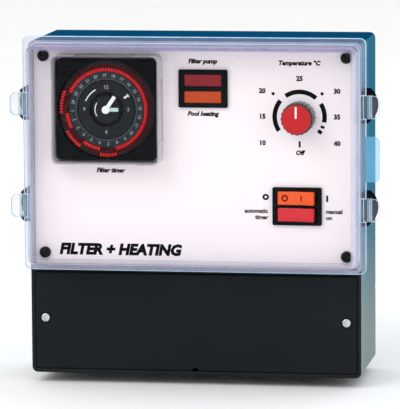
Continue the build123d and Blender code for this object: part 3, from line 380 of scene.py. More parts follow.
# Light grey screen ink: quiet numbers that stay behind the red tappets.
INK_GREY = Finish(
    "screen_ink_light_grey", "#87908F", "#969E9F",
    0.5, grain_mm=0.3, relief_mm=0.003, specular=0.2,
)
# White screen ink: the brightest marks on the clock face.
INK_WHITE = Finish("screen_ink_white", "#F2F5F5", "#FFFFFF", 0.5, grain_mm=0.3, relief_mm=0.003)
# Slate screen ink: hair lines that hardly show.
INK_DIM = Finish("screen_ink_slate", "#4A5357", "#596367", 0.5, grain_mm=0.3, relief_mm=0.003)
# Injection-moulded polycarbonate: water-clear window, walls that gather a lavender tint.
LID_WINDOW = Clear(
    "polycarbonate_moulded_window", "#9AA3B8", "#A8B0C4",
    0.06, 0.02, 0.9, 0.001, facing=0.001, slanting=0.08,
)
# The lid's side walls: thick enough to gather a lavender tint.
LID_WALL = Clear(
    "polycarbonate_moulded_wall", "#B4B9DC", "#F2EEF8",
    0.12, 0.03, 0.9, 0.002, 12, facing=0.35, slanting=0.5,
)
# The upper wall, seen along its length: a blue and mauve band, painted in for the blue light that the clear wall
# reflects.
LID_CROWN = Clear(
    "polycarbonate_upper_wall_painted_reflection", "#3A5A92", "#A58DB2",
    0.12, 0.03, 0.9, 0.002, 6, facing=0.75, slanting=0.85,
)
# The lower wall, seen from above through the window: a duller mauve.
LID_SILL = Clear(
    "polycarbonate_moulded_lower_wall", "#7C739E", "#A9A1C4",
    0.12, 0.03, 0.9, 0.002, 30, facing=0.55, slanting=0.7,
)
# The flat flange: thin and nearly clear.
LID_FLANGE = Clear(
    "polycarbonate_moulded_flange", "#8797B8", "#C9BED2",
    0.1, 0.03, 1.2, 0.004, 8, facing=0.15, slanting=0.5,
)
# The moulding's edges: bright lines painted on as highlights.
LID_EDGE_HIGHLIGHT = Clear(
    "polycarbonate_edge_painted_highlight", "#7CC4E6", "#F2FBFF",
    0.08, 0.03, 1.2, 0.001, 10, facing=0.85, slanting=0.95,
)
# The grip tab: light blue, painted in for the blue light on the side wall behind it.
LID_GRIP = Clear(
    "polycarbonate_moulded_grip", "#5FB4DE", "#86CDEE",
    0.12, 0.03, 1.2, 0.004, 20, facing=0.35, slanting=0.6,
)
# Polystyrene dust cover: clear, with greyish walls.
DUST_CLEAR = Clear(
    "polystyrene_moulded_clear", "#9A969C", "#AEAAB0",
    0.08, 0.02, 0.9, 0.001, facing=0.001, slanting=0.1,
)
# Its walls, seen along the sheet: a pale, milky grey.
DUST_WALL = Clear(
    "polystyrene_moulded_wall", "#D2CDD5", "#F4F0F5",
    0.12, 0.03, 0.9, 0.002, 18, facing=0.55, slanting=0.7,
)
# Glass-filled nylon: deep black, slightly rough where the fibres come up.
BLACK_NYLON = Finish("nylon_moulded_black", "#060A0B", "#0D1112", 0.36, grain_mm=0.5, specular=0.05)
# The same nylon, rougher from its mould: no sheen at all.
BRACKET_NYLON = Finish("nylon_moulded_bracket", "#0B0E10", "#14181A", 0.7, grain_mm=0.5, specular=0.0)
# Noryl of the timer's case: black with a faint satin sheen.
TIMER_NORYL = Finish("noryl_moulded_black", "#060708", "#0B0C0E", 0.34, grain_mm=0.45, specular=0.04)
# ABS of the dial ring: a slate grey skin.
DIAL_ABS = Finish("abs_moulded_dial", "#252C30", "#2F373B", 0.4, grain_mm=0.4, specular=0.06)
# ABS of the clock face: darker and matt, so that the hands stand out.
FACE_ABS = Finish("abs_moulded_clock_face", "#1B1E22", "#23262B", 0.42, grain_mm=0.4, specular=0.08)
# Acetal tappets, waxy and saturated: bright red steps.
TAPPET_RED = Finish(
    "acetal_moulded_red", "#D5161D", "#EE2426",
    0.3, grain_mm=0.4, relief_mm=0.003, specular=0.2,
)
# The low ends of the tappets, which lie in shade: deep red.
TAPPET_DULL = Finish(
    "acetal_moulded_red_shaded", "#4A0D10", "#5F1114",
    0.45, grain_mm=0.4, relief_mm=0.003, specular=0.1,
)
# White ABS: a clean, glossy bright line.
HAND_WHITE = Finish("abs_moulded_white", "#F2F5F5", "#FFFFFF", 0.35, grain_mm=0.4, relief_mm=0.002)
# Pale cyan ABS: the hour hand, softer than the minute hand.
HAND_CYAN = Finish("abs_moulded_pale_cyan", "#BCDDE0", "#D3ECEE", 0.35, grain_mm=0.4, relief_mm=0.002)
# Tinted acrylic over a lamp: a deep colour with fine ribs and a faint painted glow.
LENS_RED = Ribbed(
    "acrylic_ribbed_dark_red", "#74101A", "#841820",
    0.3, relief_mm=0.05, specular=0.25, glow=0.06,
)
# The same acrylic in orange: a warm, unlit lamp, with a faint painted glow.
LENS_ORANGE = Ribbed(
    "acrylic_ribbed_orange", "#A5360F", "#B44216",
    0.3, relief_mm=0.05, specular=0.25, glow=0.08,
)
# Translucent polycarbonate rockers, polished: bright, wet-looking faces with a faint painted glow.
ROCKER_ORANGE = Ribbed(
    "polycarbonate_polished_orange", "#DC4A12", "#E6571C",
    0.22, relief_mm=0.004, specular=0.35, glow=0.08,
)
# The same polycarbonate in red.
ROCKER_RED = Ribbed(
    "polycarbonate_polished_red", "#C01B27", "#CC2630",
    0.22, relief_mm=0.004, specular=0.35, glow=0.08,
)
# Charcoal nylon of the fluted skirt: lighter grey patches painted in as glints.
KNOB_GREY = Finish(
    "nylon_moulded_charcoal", "#2E3133", "#50565A",
    0.25, grain_mm=0.6, drift_mm=6, specular=0.3,
)
# Red nylon of the cap: saturated, with a soft highlight.
KNOB_CAP = Finish(
    "nylon_moulded_red", "#B2121A", "#BE181F",
    0.35, grain_mm=0.5, relief_mm=0.005, specular=0.25,
)
# Phosphated steel screws: black with a dry sheen.
BLACK_STEEL = Finish("steel_phosphated", "#050506", "#0D0D0E", 0.4, grain_mm=0.3, metallic=0.4, specular=0.3)
# Zinc plating: pale silver with a mottled bloom.
ZINC = Finish("steel_zinc_plated", "#B9BDBF", "#D2D5D6", 0.32, grain_mm=0.4, drift_mm=8, metallic=1.0)
# Drawn steel: fine lines along the bar.
STEEL = Finish("steel_drawn", "#8D9092", "#A2A5A6", 0.3, grain_mm=0.3, stretch=(1.0, 1.0, 0.08), metallic=1.0)
# Stamped brass: warm yellow metal with slight tarnish.
BRASS = Finish("brass_stamped", "#B08D45", "#C9A65A", 0.33, grain_mm=0.4, drift_mm=10, metallic=1.0)
# Stacked steel sheets: dull grey with close lines.
CORE_STEEL = Finish(
    "steel_laminated", "#4F5254", "#6A6D6F",
    0.45, grain_mm=0.5, stretch=(0.05, 1.0, 0.05), metallic=0.9,
)
# Cast silicone: a soft, milky grey bead.
SILICONE = Finish("silicone_cast", "#B4B7C8", "#C8CBD8", 0.6, grain_mm=0.6)
# Moulded rubber: dull black.
RUBBER = Finish("rubber_moulded", "#101112", "#191A1B", 0.65, grain_mm=0.5, relief_mm=0.02, specular=0.3)
# Natural acetal: waxy off-white.
ACETAL = Finish("acetal_moulded_natural", "#D8D4C8", "#E4E1D8", 0.4)
# Phenolic resin: hard reddish brown.
PHENOLIC = Finish("phenolic_moulded", "#5A2018", "#6B2A20", 0.4)
# Epoxy board with solder mask: glossy green.
BOARD = Finish("epoxy_board_green", "#1C5A34", "#256B40", 0.3, grain_mm=0.5, stretch=(1.0, 1.0, 0.3))
# Polyester relay case: plain blue.
RELAY = Finish("polyester_moulded_blue", "#1C3A70", "#24467F", 0.4)
# Polyester winding tape: glossy yellow with wound edges.
TAPE = Finish("polyester_tape_yellow", "#C8A832", "#D9BC4A", 0.35, grain_mm=1.2, stretch=(0.1, 1.0, 1.0))
# Shrink sleeve of the capacitor: navy and shiny.
SLEEVE = Finish("shrink_sleeve_navy", "#10162C", "#18203A", 0.3)
# Green nylon of the board terminals: satin.
TERMINAL_GREEN = Finish("nylon_moulded_green", "#1F7A3C", "#288A48", 0.42)
# Natural nylon of the terminal strip: off-white and satin.
STRIP_NYLON = Finish("nylon_moulded_natural", "#D6D4CC", "#E2E0D9", 0.45)
# Drawn glass: clear with a bright edge.
GLASS = Clear("glass_drawn", "#E8EEF0", "#F6FAFA", 0.05, 0.02, 1.0, 0.001, facing=0.25, slanting=0.8)
# Rolled pale paint: a matt floor that shows only soft shadows.
FLOOR_PAINT = Finish("paint_rolled_pale", "#F4F4F4", "#FAFAFA", 0.8, grain_mm=3.0, drift_mm=400, specular=0.1)


def paint(piece: Piece, *finishes: Finish) -> None:
    """Give a piece its materials.

    Args:
        piece: The piece.
        finishes: Its finishes, in slot order.
    """
    piece.data.materials.clear()
    for finish in finishes:
        piece.data.materials.append(finish.material())


def paint_where(piece: Piece, slot: int, test: Callable[[Vector, Vector], bool]) -> None:
    """Give a material slot to the faces that pass a test.

    Args:
        piece: The piece, with its materials in place.
        slot: The slot's number.
        test: Takes a face's centre and normal, in millimetres, and says yes or no.
    """
    for face in piece.data.polygons:
        if test(face.center / MM, face.normal):
            face.material_index = slot


# --- modelling by hand ---


def clear_selection() -> None:
    """Leave nothing selected."""
    bpy.ops.object.select_all(action="DESELECT")


def pick(*pieces: Piece) -> None:
    """Select these pieces alone, the first one active.

    Args:
        pieces: The pieces.
    """
    clear_selection()
    for piece in pieces:
        piece.select_set(True)
    bpy.context.view_layer.objects.active = pieces[0]


@contextmanager
def edit_mode(piece: Piece) -> Iterator[None]:
    """Work on a piece's whole mesh in edit mode.

    Args:
        piece: The piece, which is left in object mode.

    Yields:
        Nothing; the mesh is open and wholly selected meanwhile.
    """
    pick(piece)
    bpy.ops.object.mode_set(mode="EDIT")
    bpy.ops.mesh.select_all(action="SELECT")
    yield
    bpy.ops.object.mode_set(mode="OBJECT")


def apply_modifier(piece: Piece, kind: str, settings: dict[str, Any]) -> None:
    """Add a modifier, set it and apply it.

    Args:
        piece: The piece to change.
        kind: The modifier's type.
        settings: Its properties.
    """
    pick(piece)
    bpy.ops.object.modifier_add(type=kind)
    made = piece.modifiers[-1]
    for key, value in settings.items():
        setattr(made, key, value)
    bpy.ops.object.modifier_apply(modifier=made.name)


def settle(piece: Piece, name: str, body: Body) -> Piece:
    """Name a finished piece, put its place in its mesh and let it ride.

    Args:
        piece: The piece.
        name: Its name.
        body: The body that carries it.

    Returns:
        The same piece.
    """
    pick(piece)
    bpy.ops.object.transform_apply(location=True, rotation=True, scale=True)
    piece.name = name
    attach(piece, body.value)
    log.info("%s rides on %s with %d faces", name, body.value, len(piece.data.polygons))
    return piece


def softened(node: str, body: Body, edge_mm: float, steps: int = 2) -> Piece:
    """Copy a node with its sharp edges rounded as a mould or a press leaves them.

    Args:
        node: The node that the copy stands for.
        body: The body that carries it.
        edge_mm: The width of each rounded edge, or 0 where the node has its own rounds.
        steps: The facets across an edge.

    Returns:
        The new piece.
    """
    piece = bpy.data.objects.new(node + "_rounded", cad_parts[node].data.copy())
    bpy.context.scene.collection.objects.link(piece)
    with edit_mode(piece):
        bpy.ops.mesh.customdata_custom_splitnormals_clear()
        bpy.ops.mesh.remove_doubles(threshold=0.002 * MM)
        bpy.ops.mesh.dissolve_degenerate(threshold=0.01 * MM)
    edge = {"width": edge_mm * MM, "segments": steps, "limit_method": "ANGLE"}
    edge |= {"angle_limit": math.radians(BEVEL_DEG), "use_clamp_overlap": False, "loop_slide": False}
    if edge_mm:
        apply_modifier(piece, "BEVEL", edge)
    pick(piece)
    bpy.ops.object.shade_smooth_by_angle(angle=math.radians(SMOOTH_DEG))
    for face in piece.data.polygons:
        face.use_smooth = max(abs(part) for part in face.normal) < FLAT
    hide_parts(node)
    return settle(piece, node + "_rounded", body)


def laid(film: Piece, spot_mm: Pair, depth_mm: float, turn: Matrix) -> Piece:
    """Turn a film of ink and lay it on a face that looks to the front.

    Args:
        film: The film, made at the origin.
        spot_mm: Its place across and up.
        depth_mm: The depth of the face under it.
        turn: Its turn about the origin.

    Returns:
        The same film, with its place in its mesh.
    """
    place = Matrix.Translation((spot_mm[0] * MM, -depth_mm * MM - INK_LIFT, spot_mm[1] * MM))
    film.matrix_world = place @ turn
    pick(film)
    bpy.ops.object.transform_apply(location=True, rotation=True, scale=True)
    return film


def word(text: str, x_mm: float, z_mm: float, depth_mm: float, height_mm: float, side: Side = Side.MIDDLE,
         turn_deg: float = 0.0, weight: float = 0.03, slant: float = 0.0) -> Piece:
    """Print a word as a thin film of ink that faces the front.

    Args:
        text: The word.
        x_mm: Its place across.
        z_mm: The middle of its height.
        depth_mm: The depth of the face under it.
        height_mm: The height of a capital.
        side: Which edge stands at x_mm.
        turn_deg: Its turn, anticlockwise from the front.
        weight: How far its strokes are thickened, as a share of its size.
        slant: How far it leans, as an italic does.

    Returns:
        The word's mesh.
    """
    clear_selection()
    bpy.ops.object.text_add(location=(0.0, 0.0, 0.0))
    made = bpy.context.object
    made.data.body = text
    made.data.size = height_mm * MM / 0.7
    made.data.offset = weight * made.data.size
    made.data.shear = slant
    made.data.extrude = INK_T / 2
    made.data.resolution_u = 2
    made.data.align_x = side.value
    made.data.align_y = "CENTER"
    bpy.ops.object.convert(target="MESH")
    made = bpy.context.object
    turn = Matrix.Rotation(-math.radians(turn_deg), 4, "Y") @ Matrix.Rotation(math.pi / 2, 4, "X")
    return laid(made, (x_mm, z_mm), depth_mm, turn)


def arc(x_mm: float, z_mm: float, depth_mm: float, radii_mm: Pair, start_deg: float = 0.0,
        sweep_deg: float = 360.0) -> Piece:
    """Print a ring or part of one as a thin film of ink that faces the front.

    Args:
        x_mm: The centre across.
        z_mm: The centre's height.
        depth_mm: The depth of the face under it.
        radii_mm: The inner and the outer radius.
        start_deg: Where it starts, anticlockwise from the right.
        sweep_deg: How far it goes on from there.

    Returns:
        The arc's mesh.
    """
    inner, outer = (r * MM for r in radii_mm)
    width = outer - inner
    clear_selection()
    middle = (inner + width / 2, 0.0, -width / 2)
    bpy.ops.mesh.primitive_plane_add(size=width, location=middle, rotation=(math.pi / 2, 0.0, 0.0))
    made = bpy.context.object
    bpy.ops.object.transform_apply(location=True, rotation=True, scale=True)
    with edit_mode(made):
        bpy.ops.mesh.delete(type="ONLY_FACE")
    for vertex in made.data.vertices:
        vertex.select = vertex.co.z < -width / 2
    bpy.ops.object.mode_set(mode="EDIT")
    bpy.ops.mesh.delete(type="VERT")
    bpy.ops.mesh.select_all(action="SELECT")
    steps = max(8, round(abs(sweep_deg) / 4))
    turn = math.radians(sweep_deg)
    bpy.ops.mesh.spin(steps=steps, angle=turn, center=(0.0, 0.0, 0.0), axis=(0.0, 1.0, 0.0))
    bpy.ops.mesh.select_all(action="SELECT")
    bpy.ops.mesh.remove_doubles(threshold=0.001 * MM)
    bpy.ops.object.mode_set(mode="OBJECT")
    apply_modifier(made, "SOLIDIFY", {"thickness": INK_T, "offset": 0.0})
    with edit_mode(made):
        bpy.ops.mesh.normals_make_consistent(inside=False)
    return laid(made, (x_mm, z_mm), depth_mm, Matrix.Rotation(-math.radians(start_deg), 4, "Y"))


def bar(x_mm: float, z_mm: float, depth_mm: float, size_mm: Pair, turn_deg: float = 0.0) -> Piece:
    """Print a bar with softened corners that faces the front.

    Args:
        x_mm: Its middle across.
        z_mm: The middle of its height.
        depth_mm: The depth of the face under it.
        size_mm: Its width and height.
        turn_deg: Its turn, anticlockwise from the front.

    Returns:
        The bar's mesh.
    """
    clear_selection()
    bpy.ops.mesh.primitive_cube_add(size=1.0)
    made = bpy.context.object
    made.scale = (size_mm[0] * MM, INK_T, size_mm[1] * MM)
    bpy.ops.object.transform_apply(location=True, rotation=True, scale=True)
    with edit_mode(made):
        bpy.ops.mesh.select_mode(type="EDGE")
        bpy.ops.mesh.select_all(action="DESELECT")
    for edge in made.data.edges:
        a, b = (made.data.vertices[i].co for i in edge.vertices)
        edge.select = abs(a.y - b.y) > INK_T / 2
    bpy.ops.object.mode_set(mode="EDIT")
    bpy.ops.mesh.bevel(offset=min(size_mm) * MM * BAR_CORNER, segments=2)
    bpy.ops.mesh.select_mode(type="VERT")
    bpy.ops.object.mode_set(mode="OBJECT")
    return laid(made, (x_mm, z_mm), depth_mm, Matrix.Rotation(-math.radians(turn_deg), 4, "Y"))


def print_on(name: str, body: Body, finish: Finish, films: list[Piece]) -> Piece:
    """Join films of ink into one printed piece.

    Args:
        name: The piece's name.
        body: The body that carries it.
        finish: The ink.
        films: Its words, arcs and bars.

    Returns:
        The printed piece.
    """
    pick(*films)
    bpy.ops.object.join()
    made = bpy.context.object
    paint(made, finish)
    return settle(made, name, body)


def around(x_mm: float, z_mm: float, reach_mm: float, degrees: float) -> Pair:
    """Find a place round a centre.

    Args:
        x_mm: The centre across.
        z_mm: The centre's height.
        reach_mm: How far out the place lies.
        degrees: Its direction, anticlockwise from the right.

    Returns:
        The place across and up.
    """
    turn = math.radians(degrees)
    return (x_mm + reach_mm * math.cos(turn), z_mm + reach_mm * math.sin(turn))


def middle_mm(node: str) -> Pair:
    """Find the middle of a node in its front view.

    Args:
        node: The node's name.

    Returns:
        The middle across and up, in millimetres.
    """
    low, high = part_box(node)
    return (low.x + high.x) / 2 / MM, (low.z + high.z) / 2 / MM


def face_mm(node: str) -> float:
    """Find how far in front of the wall a node reaches.

    Args:
        node: The node's name.

    Returns:
        The depth of its front face, in millimetres.
    """
    return -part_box(node)[0].y / MM


# --- sub-assemblies ---


@dataclass
class SubAssembly:
    """Part of the unit, with the finishes of the nodes that it keeps as they are."""

    kept: dict[str, Finish] = field(default_factory=dict)

    def build(self) -> None:
        """Make the new pieces."""

    def dress(self) -> None:
        """Give the kept nodes their finishes."""
        for node, finish in self.kept.items():
            paint(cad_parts[node], finish)
            log.info("%s is dressed in %s", node, finish.name)


@dataclass
class Housing(SubAssembly):
    """Wall box, terminal cover, seal, cable entries and screws."""

    edge_mm: float = 0.4
    screw_edge_mm: float = 0.12
    side_slope: float = 0.6
    skin_reach_mm: float = 4.5
    kept: dict[str, Finish] = field(default_factory=lambda: {"cable_grommets": RUBBER, "lid_gasket": SILICONE})

    def build(self) -> None:
        """Round the mouldings' edges and paint the room's blue light onto the outer side and top walls."""
        self.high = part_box("housing_base")[1] / MM
        shell = softened("housing_base", Body.HOUSING, self.edge_mm)
        paint(shell, HOUSING_ABS, SIDE_WALL_PAINTED_LIGHT, TOP_WALL_PAINTED_LIGHT)
        # The side and top walls get painted light: the room's blue light on dark ABS, chosen by which way each
        # face looks.
        paint_where(shell, ShellSlot.SIDE, self.on_side)
        paint_where(shell, ShellSlot.TOP, self.on_top)
        cover = softened("terminal_cover", Body.HOUSING, 0.0)
        paint(cover, COVER_ABS)
        for node, finish in (("panel_screws", BLACK_STEEL), ("terminal_cover_screws", ZINC)):
            paint(softened(node, Body.HOUSING, self.screw_edge_mm), finish)

    def on_side(self, centre_mm: Vector, normal: Vector) -> bool:
        """Say whether a face is on the outside of a side wall.

        Args:
            centre_mm: The face's centre.
            normal: Its normal.

        Returns:
            Yes or no.
        """
        outside = abs(centre_mm.x) > self.high.x - self.skin_reach_mm and normal.x * centre_mm.x > 0
        return outside and abs(normal.x) > self.side_slope

    def on_top(self, centre_mm: Vector, normal: Vector) -> bool:
        """Say whether a face is on the outside of the top wall.

        Args:
            centre_mm: The face's centre.
            normal: Its normal.

        Returns:
            Yes or no.
        """
        return normal.z > self.side_slope and centre_mm.z > self.high.z - self.skin_reach_mm


@dataclass
class Panel(SubAssembly):
    """Front panel with its generic legends and the temperature scale."""

    capital_mm: float = 2.75
    small_mm: float = 2.6125
    sign_mm: float = 3.3
    number_mm: float = 2.9
    title_mm: float = 6.6
    title_corner_mm: Pair = (-88.0, -27.0)
    weight: float = 0.06
    small_weight: float = 0.045
    sign_weight: float = 0.09
    scale_r_mm: float = 15.9
    stroke_mm: float = 2.9
    dot_mm: float = 1.9
    dot_places: tuple[Pair, Pair] = ((46.0, 20.6), (139.0, 22.3))
    off_mark_drop_mm: float = 17.4
    number_turn_mm: Pair = (23.8, 16.8)

    def build(self) -> None:
        """Print the legends and the scale."""
        self.face = face_mm("front_panel")
        print_on("panel_legends", Body.HOUSING, INK_BLACK, self.legends() + self.temperature_scale())
        panel = softened("front_panel", Body.HOUSING, 0.0)
        paint(panel, PANEL_LAMINATE)

    def legends(self) -> list[Piece]:
        """Function words beside the devices.

        Returns:
            The words' meshes.
        """
        timer_x, timer_z = middle_mm("timer_dust_cover")
        lamp_x, lamp_z = middle_mm("indicator_frame")
        rocker_x, rocker_z = middle_mm("rocker_frame")
        knob_x, knob_z = middle_mm("knob_cap")
        words = []
        for text, x, z in (
            ("Filter timer", timer_x + 0.5, timer_z - 40.0),
            ("Filter pump", lamp_x - 0.4, lamp_z + 17.2),
            ("Pool heating", lamp_x - 0.4, lamp_z - 16.2),
            ("Temperature °C", knob_x - 0.3, knob_z + 34.0),
            ("Off", knob_x, knob_z - 22.9),
        ):
            words.append(word(text, x, z, self.face, self.capital_mm, weight=self.weight, slant=LEGEND_LEAN))
        for text, x, z in (("O", rocker_x - 20.2, rocker_z + 5.4), ("I", rocker_x + 19.0, rocker_z + 4.8)):
            words.append(word(text, x, z, self.face, self.sign_mm, weight=self.sign_weight))
        for text, x, z, side in (
            ("automatic", rocker_x - 18.8, rocker_z - 3.4, Side.RIGHT),
            ("timer", rocker_x - 18.8, rocker_z - 7.4, Side.RIGHT),
            ("manual", rocker_x + 18.2, rocker_z - 3.4, Side.LEFT),
            ("on", rocker_x + 18.2, rocker_z - 7.4, Side.LEFT),
        ):
            words.append(word(text, x, z, self.face, self.small_mm, side, weight=self.small_weight))
        x, z = self.title_corner_mm
        words.append(word("FILTER + HEATING", x, z, self.face, self.title_mm, Side.LEFT, weight=self.weight,
                          slant=LEGEND_LEAN))
        return words

    def temperature_scale(self) -> list[Piece]:
        """Arcs, dots and numbers round the knob.

        Returns:
            Their meshes.
        """
        x, z = middle_mm("knob_cap")
        half = self.stroke_mm / 2
        radii = (self.scale_r_mm - half, self.scale_r_mm + half)
        films = [arc(x, z, self.face, radii, start, sweep) for start, sweep in ((49, 75), (140, 74), (-12, 44))]
        for degrees, size in ((-23.5, (2.6, 1.7)), (-36.0, (3.0, 2.4))):
            films.append(bar(*around(x, z, self.scale_r_mm, degrees), self.face, size, degrees))
        for degrees, reach in self.dot_places:
            films.append(bar(*around(x, z, reach, degrees), self.face, (self.dot_mm, self.dot_mm), degrees))
        films.append(bar(x, z - self.off_mark_drop_mm, self.face, (1.3, 4.0)))
        dx, dz = self.number_turn_mm
        places = ((0.0, 24.2), (-dx, dz - 0.5), (dx, dz - 0.5), (-dx, 0.0), (dx, 0.0), (-dx, -dz), (dx, -dz))
        for number, (step_x, step_z) in zip(("25", "20", "30", "15", "35", "10", "40"), places):
            films.append(word(number, x + step_x, z + step_z, self.face, self.number_mm, weight=self.weight))
        return films


@dataclass
class Lid(SubAssembly):
    """Clear hinged lid with its brackets and pins."""

    edge_mm: float = 0.45
    flange_depth_mm: float = 82.3
    grip_height_mm: float = 34.0
    grip_z_mm: float = 33.5
    grip_x_mm: float = 109.5
    sill_z_mm: float = -34.0
    crown_z_mm: float = 100.5
    kept: dict[str, Finish] = field(default_factory=lambda: {"hinge_pins": BLACK_STEEL, "catch_pins": BLACK_STEEL})

    def build(self) -> None:
        """Round the lid's edges, tint its walls and flange, paint highlight lines on the flange's edges and a
        reflection on its upper wall, and round the brackets.
        """
        lid = softened("clear_lid", Body.LID, self.edge_mm, 3)
        paint(lid, LID_WINDOW, LID_WALL, LID_FLANGE, LID_GRIP, LID_SILL, LID_EDGE_HIGHLIGHT, LID_CROWN)
        paint_where(lid, LidSlot.WALL, self.on_wall)
        paint_where(lid, LidSlot.SILL, lambda c, n: self.on_wall(c, n) and c.z < self.sill_z_mm)
        # The upper wall gets a painted reflection of blue light.
        paint_where(lid, LidSlot.CROWN, lambda c, n: self.raised(c) and n.z > 0.2 and c.z > self.crown_z_mm)
        paint_where(lid, LidSlot.FLANGE, lambda c, n: not self.raised(c))
        # Slanted faces round the flange get painted highlight lines.
        paint_where(lid, LidSlot.EDGE, lambda c, n: not self.raised(c) and max(abs(v) for v in n) < 0.97)
        # The grip tab gets the painted blue light of the wall behind it.
        paint_where(lid, LidSlot.GRIP, self.on_grip)
        for node in ("hinge_brackets", "catch_brackets"):
            paint(softened(node, Body.HOUSING, 0.3), BRACKET_NYLON)

    def raised(self, centre_mm: Vector) -> bool:
        """Say whether a face lies in front of the lid's flange.

        Args:
            centre_mm: The face's centre.

        Returns:
            Yes or no.
        """
        return -centre_mm.y > self.flange_depth_mm

    def on_wall(self, centre_mm: Vector, normal: Vector) -> bool:
        """Say whether a face is on a wall that stands in front of the flange.

        Args:
            centre_mm: The face's centre.
            normal: Its normal.

        Returns:
            Yes or no.
        """
        return self.raised(centre_mm) and abs(normal.y) < 0.9

    def on_grip(self, centre_mm: Vector, normal: Vector) -> bool:
        """Say whether a face belongs to the grip tab at the lid's free edge.

        Args:
            centre_mm: The face's centre.
            normal: Its normal, which doesn't matter here.

        Returns:
            Yes or no.
        """
        near = abs(centre_mm.z - self.grip_z_mm) < self.grip_height_mm / 2
        return centre_mm.x > self.grip_x_mm and near and -centre_mm.y < self.flange_depth_mm


@dataclass
class Timer(SubAssembly):
    """Day timer: clear cover, case, dial with its tappets, clock face and hands."""

    number_r_mm: float = 21.7
    mark_r_mm: float = 20.0
    marker_r_mm: float = 15.4
    numeral_r_mm: float = 14.2
    marker_deg: float = 33.0
    marker_hour: int = 15
    head_reach_mm: float = 1.3
    step_mm: float = 0.7
    kept: dict[str, Finish] = field(default_factory=lambda: {
        "timer_back_cover": TIMER_NORYL,
        "timer_clamp_frame": BLACK_NYLON,
        "timer_movement": ACETAL,
        "timer_motor": ZINC,
        "timer_switch": PHENOLIC,
        "timer_terminals": BRASS,
        "timer_minute_arbor": STEEL,
    })

    def build(self) -> None:
        """Round the visible pieces and print the dial and the clock face."""
        self.x, self.z = middle_mm("timer_clock_face")
        cover = softened("timer_dust_cover", Body.HOUSING, 0.0)
        paint(cover, DUST_CLEAR, DUST_WALL)
        paint_where(cover, 1, lambda c, n: abs(n.y) < 0.8)
        paint(softened("timer_case", Body.HOUSING, 0.3), TIMER_NORYL)
        paint(softened("timer_clock_face", Body.HOUSING, 0.15), FACE_ABS)
        paint(softened("timer_dial_ring", Body.DIAL, 0.15), DIAL_ABS)
        self.tappets()
        paint(softened("timer_minute_hand", Body.MINUTE, 0.15), HAND_WHITE)
        paint(softened("timer_hour_hand", Body.HOUR, 0.15), HAND_CYAN)
        self.print_dial()
        self.print_face()

    def tappets(self) -> None:
        """Red tappets: their high steps catch the light, and their low ends lie in shade."""
        piece = softened("timer_tappets", Body.DIAL, 0.1, 1)
        paint(piece, TAPPET_RED, TAPPET_DULL)
        low_step = face_mm("timer_tappets") - self.step_mm
        paint_where(piece, 1, lambda c, n: -c.y < low_step)

    def print_dial(self) -> None:
        """Hours and quarter marks on the turning ring."""
        face = face_mm("timer_dial_ring")
        hours = []
        for hour in range(1, 25):
            degrees = self.marker_deg + (hour - self.marker_hour) * 15
            spot = around(self.x, self.z, self.number_r_mm, degrees)
            hours.append(word(str(hour), *spot, face, 1.9, turn_deg=degrees - 90))
        print_on("dial_hours", Body.DIAL, INK_GREY, hours)
        marks = [arc(self.x, self.z, face, (19.35, 19.6))]
        for step in range(48):
            degrees = self.marker_deg + step * 7.5
            marks.append(bar(*around(self.x, self.z, self.mark_r_mm, degrees), face, (0.7, 0.22), degrees))
        print_on("dial_marks", Body.DIAL, INK_DIM, marks)

    def print_face(self) -> None:
        """Quarter numerals and arrows on the clock face, and black rings of painted shade in its grooves."""
        face = face_mm("timer_clock_face")
        numerals = [
            word(text, self.x + self.numeral_r_mm * dx, self.z + self.numeral_r_mm * dz, face, 2.3)
            for text, dx, dz in (("12", 0, 1), ("3", 1, 0), ("6", 0, -1), ("9", -1, 0))
        ]
        print_on("clock_numerals", Body.HOUSING, INK_GREY, numerals)
        shaft = around(self.x, self.z, self.marker_r_mm, self.marker_deg)
        head = around(self.x, self.z, self.marker_r_mm + self.head_reach_mm, self.marker_deg)
        arrows = [
            arc(self.x, self.z, face, (13.9, 14.5), 118.0, 40.0),
            arc(self.x, self.z, face, (7.0, 7.5), 145.0, 70.0),
            bar(*shaft, face, (3.6, 1.3), self.marker_deg),
            bar(*head, face, (1.0, 2.2), self.marker_deg),
        ]
        print_on("clock_arrows", Body.HOUSING, INK_WHITE, arrows)
        # Black rings painted in for the shade in the face's grooves.
        groove_shade = [arc(self.x, self.z, face, (8.9, 11.0)), arc(self.x, self.z, face, (18.2, 18.8))]
        print_on("clock_grooves_painted_shade", Body.HOUSING, INK_BLACK, groove_shade)


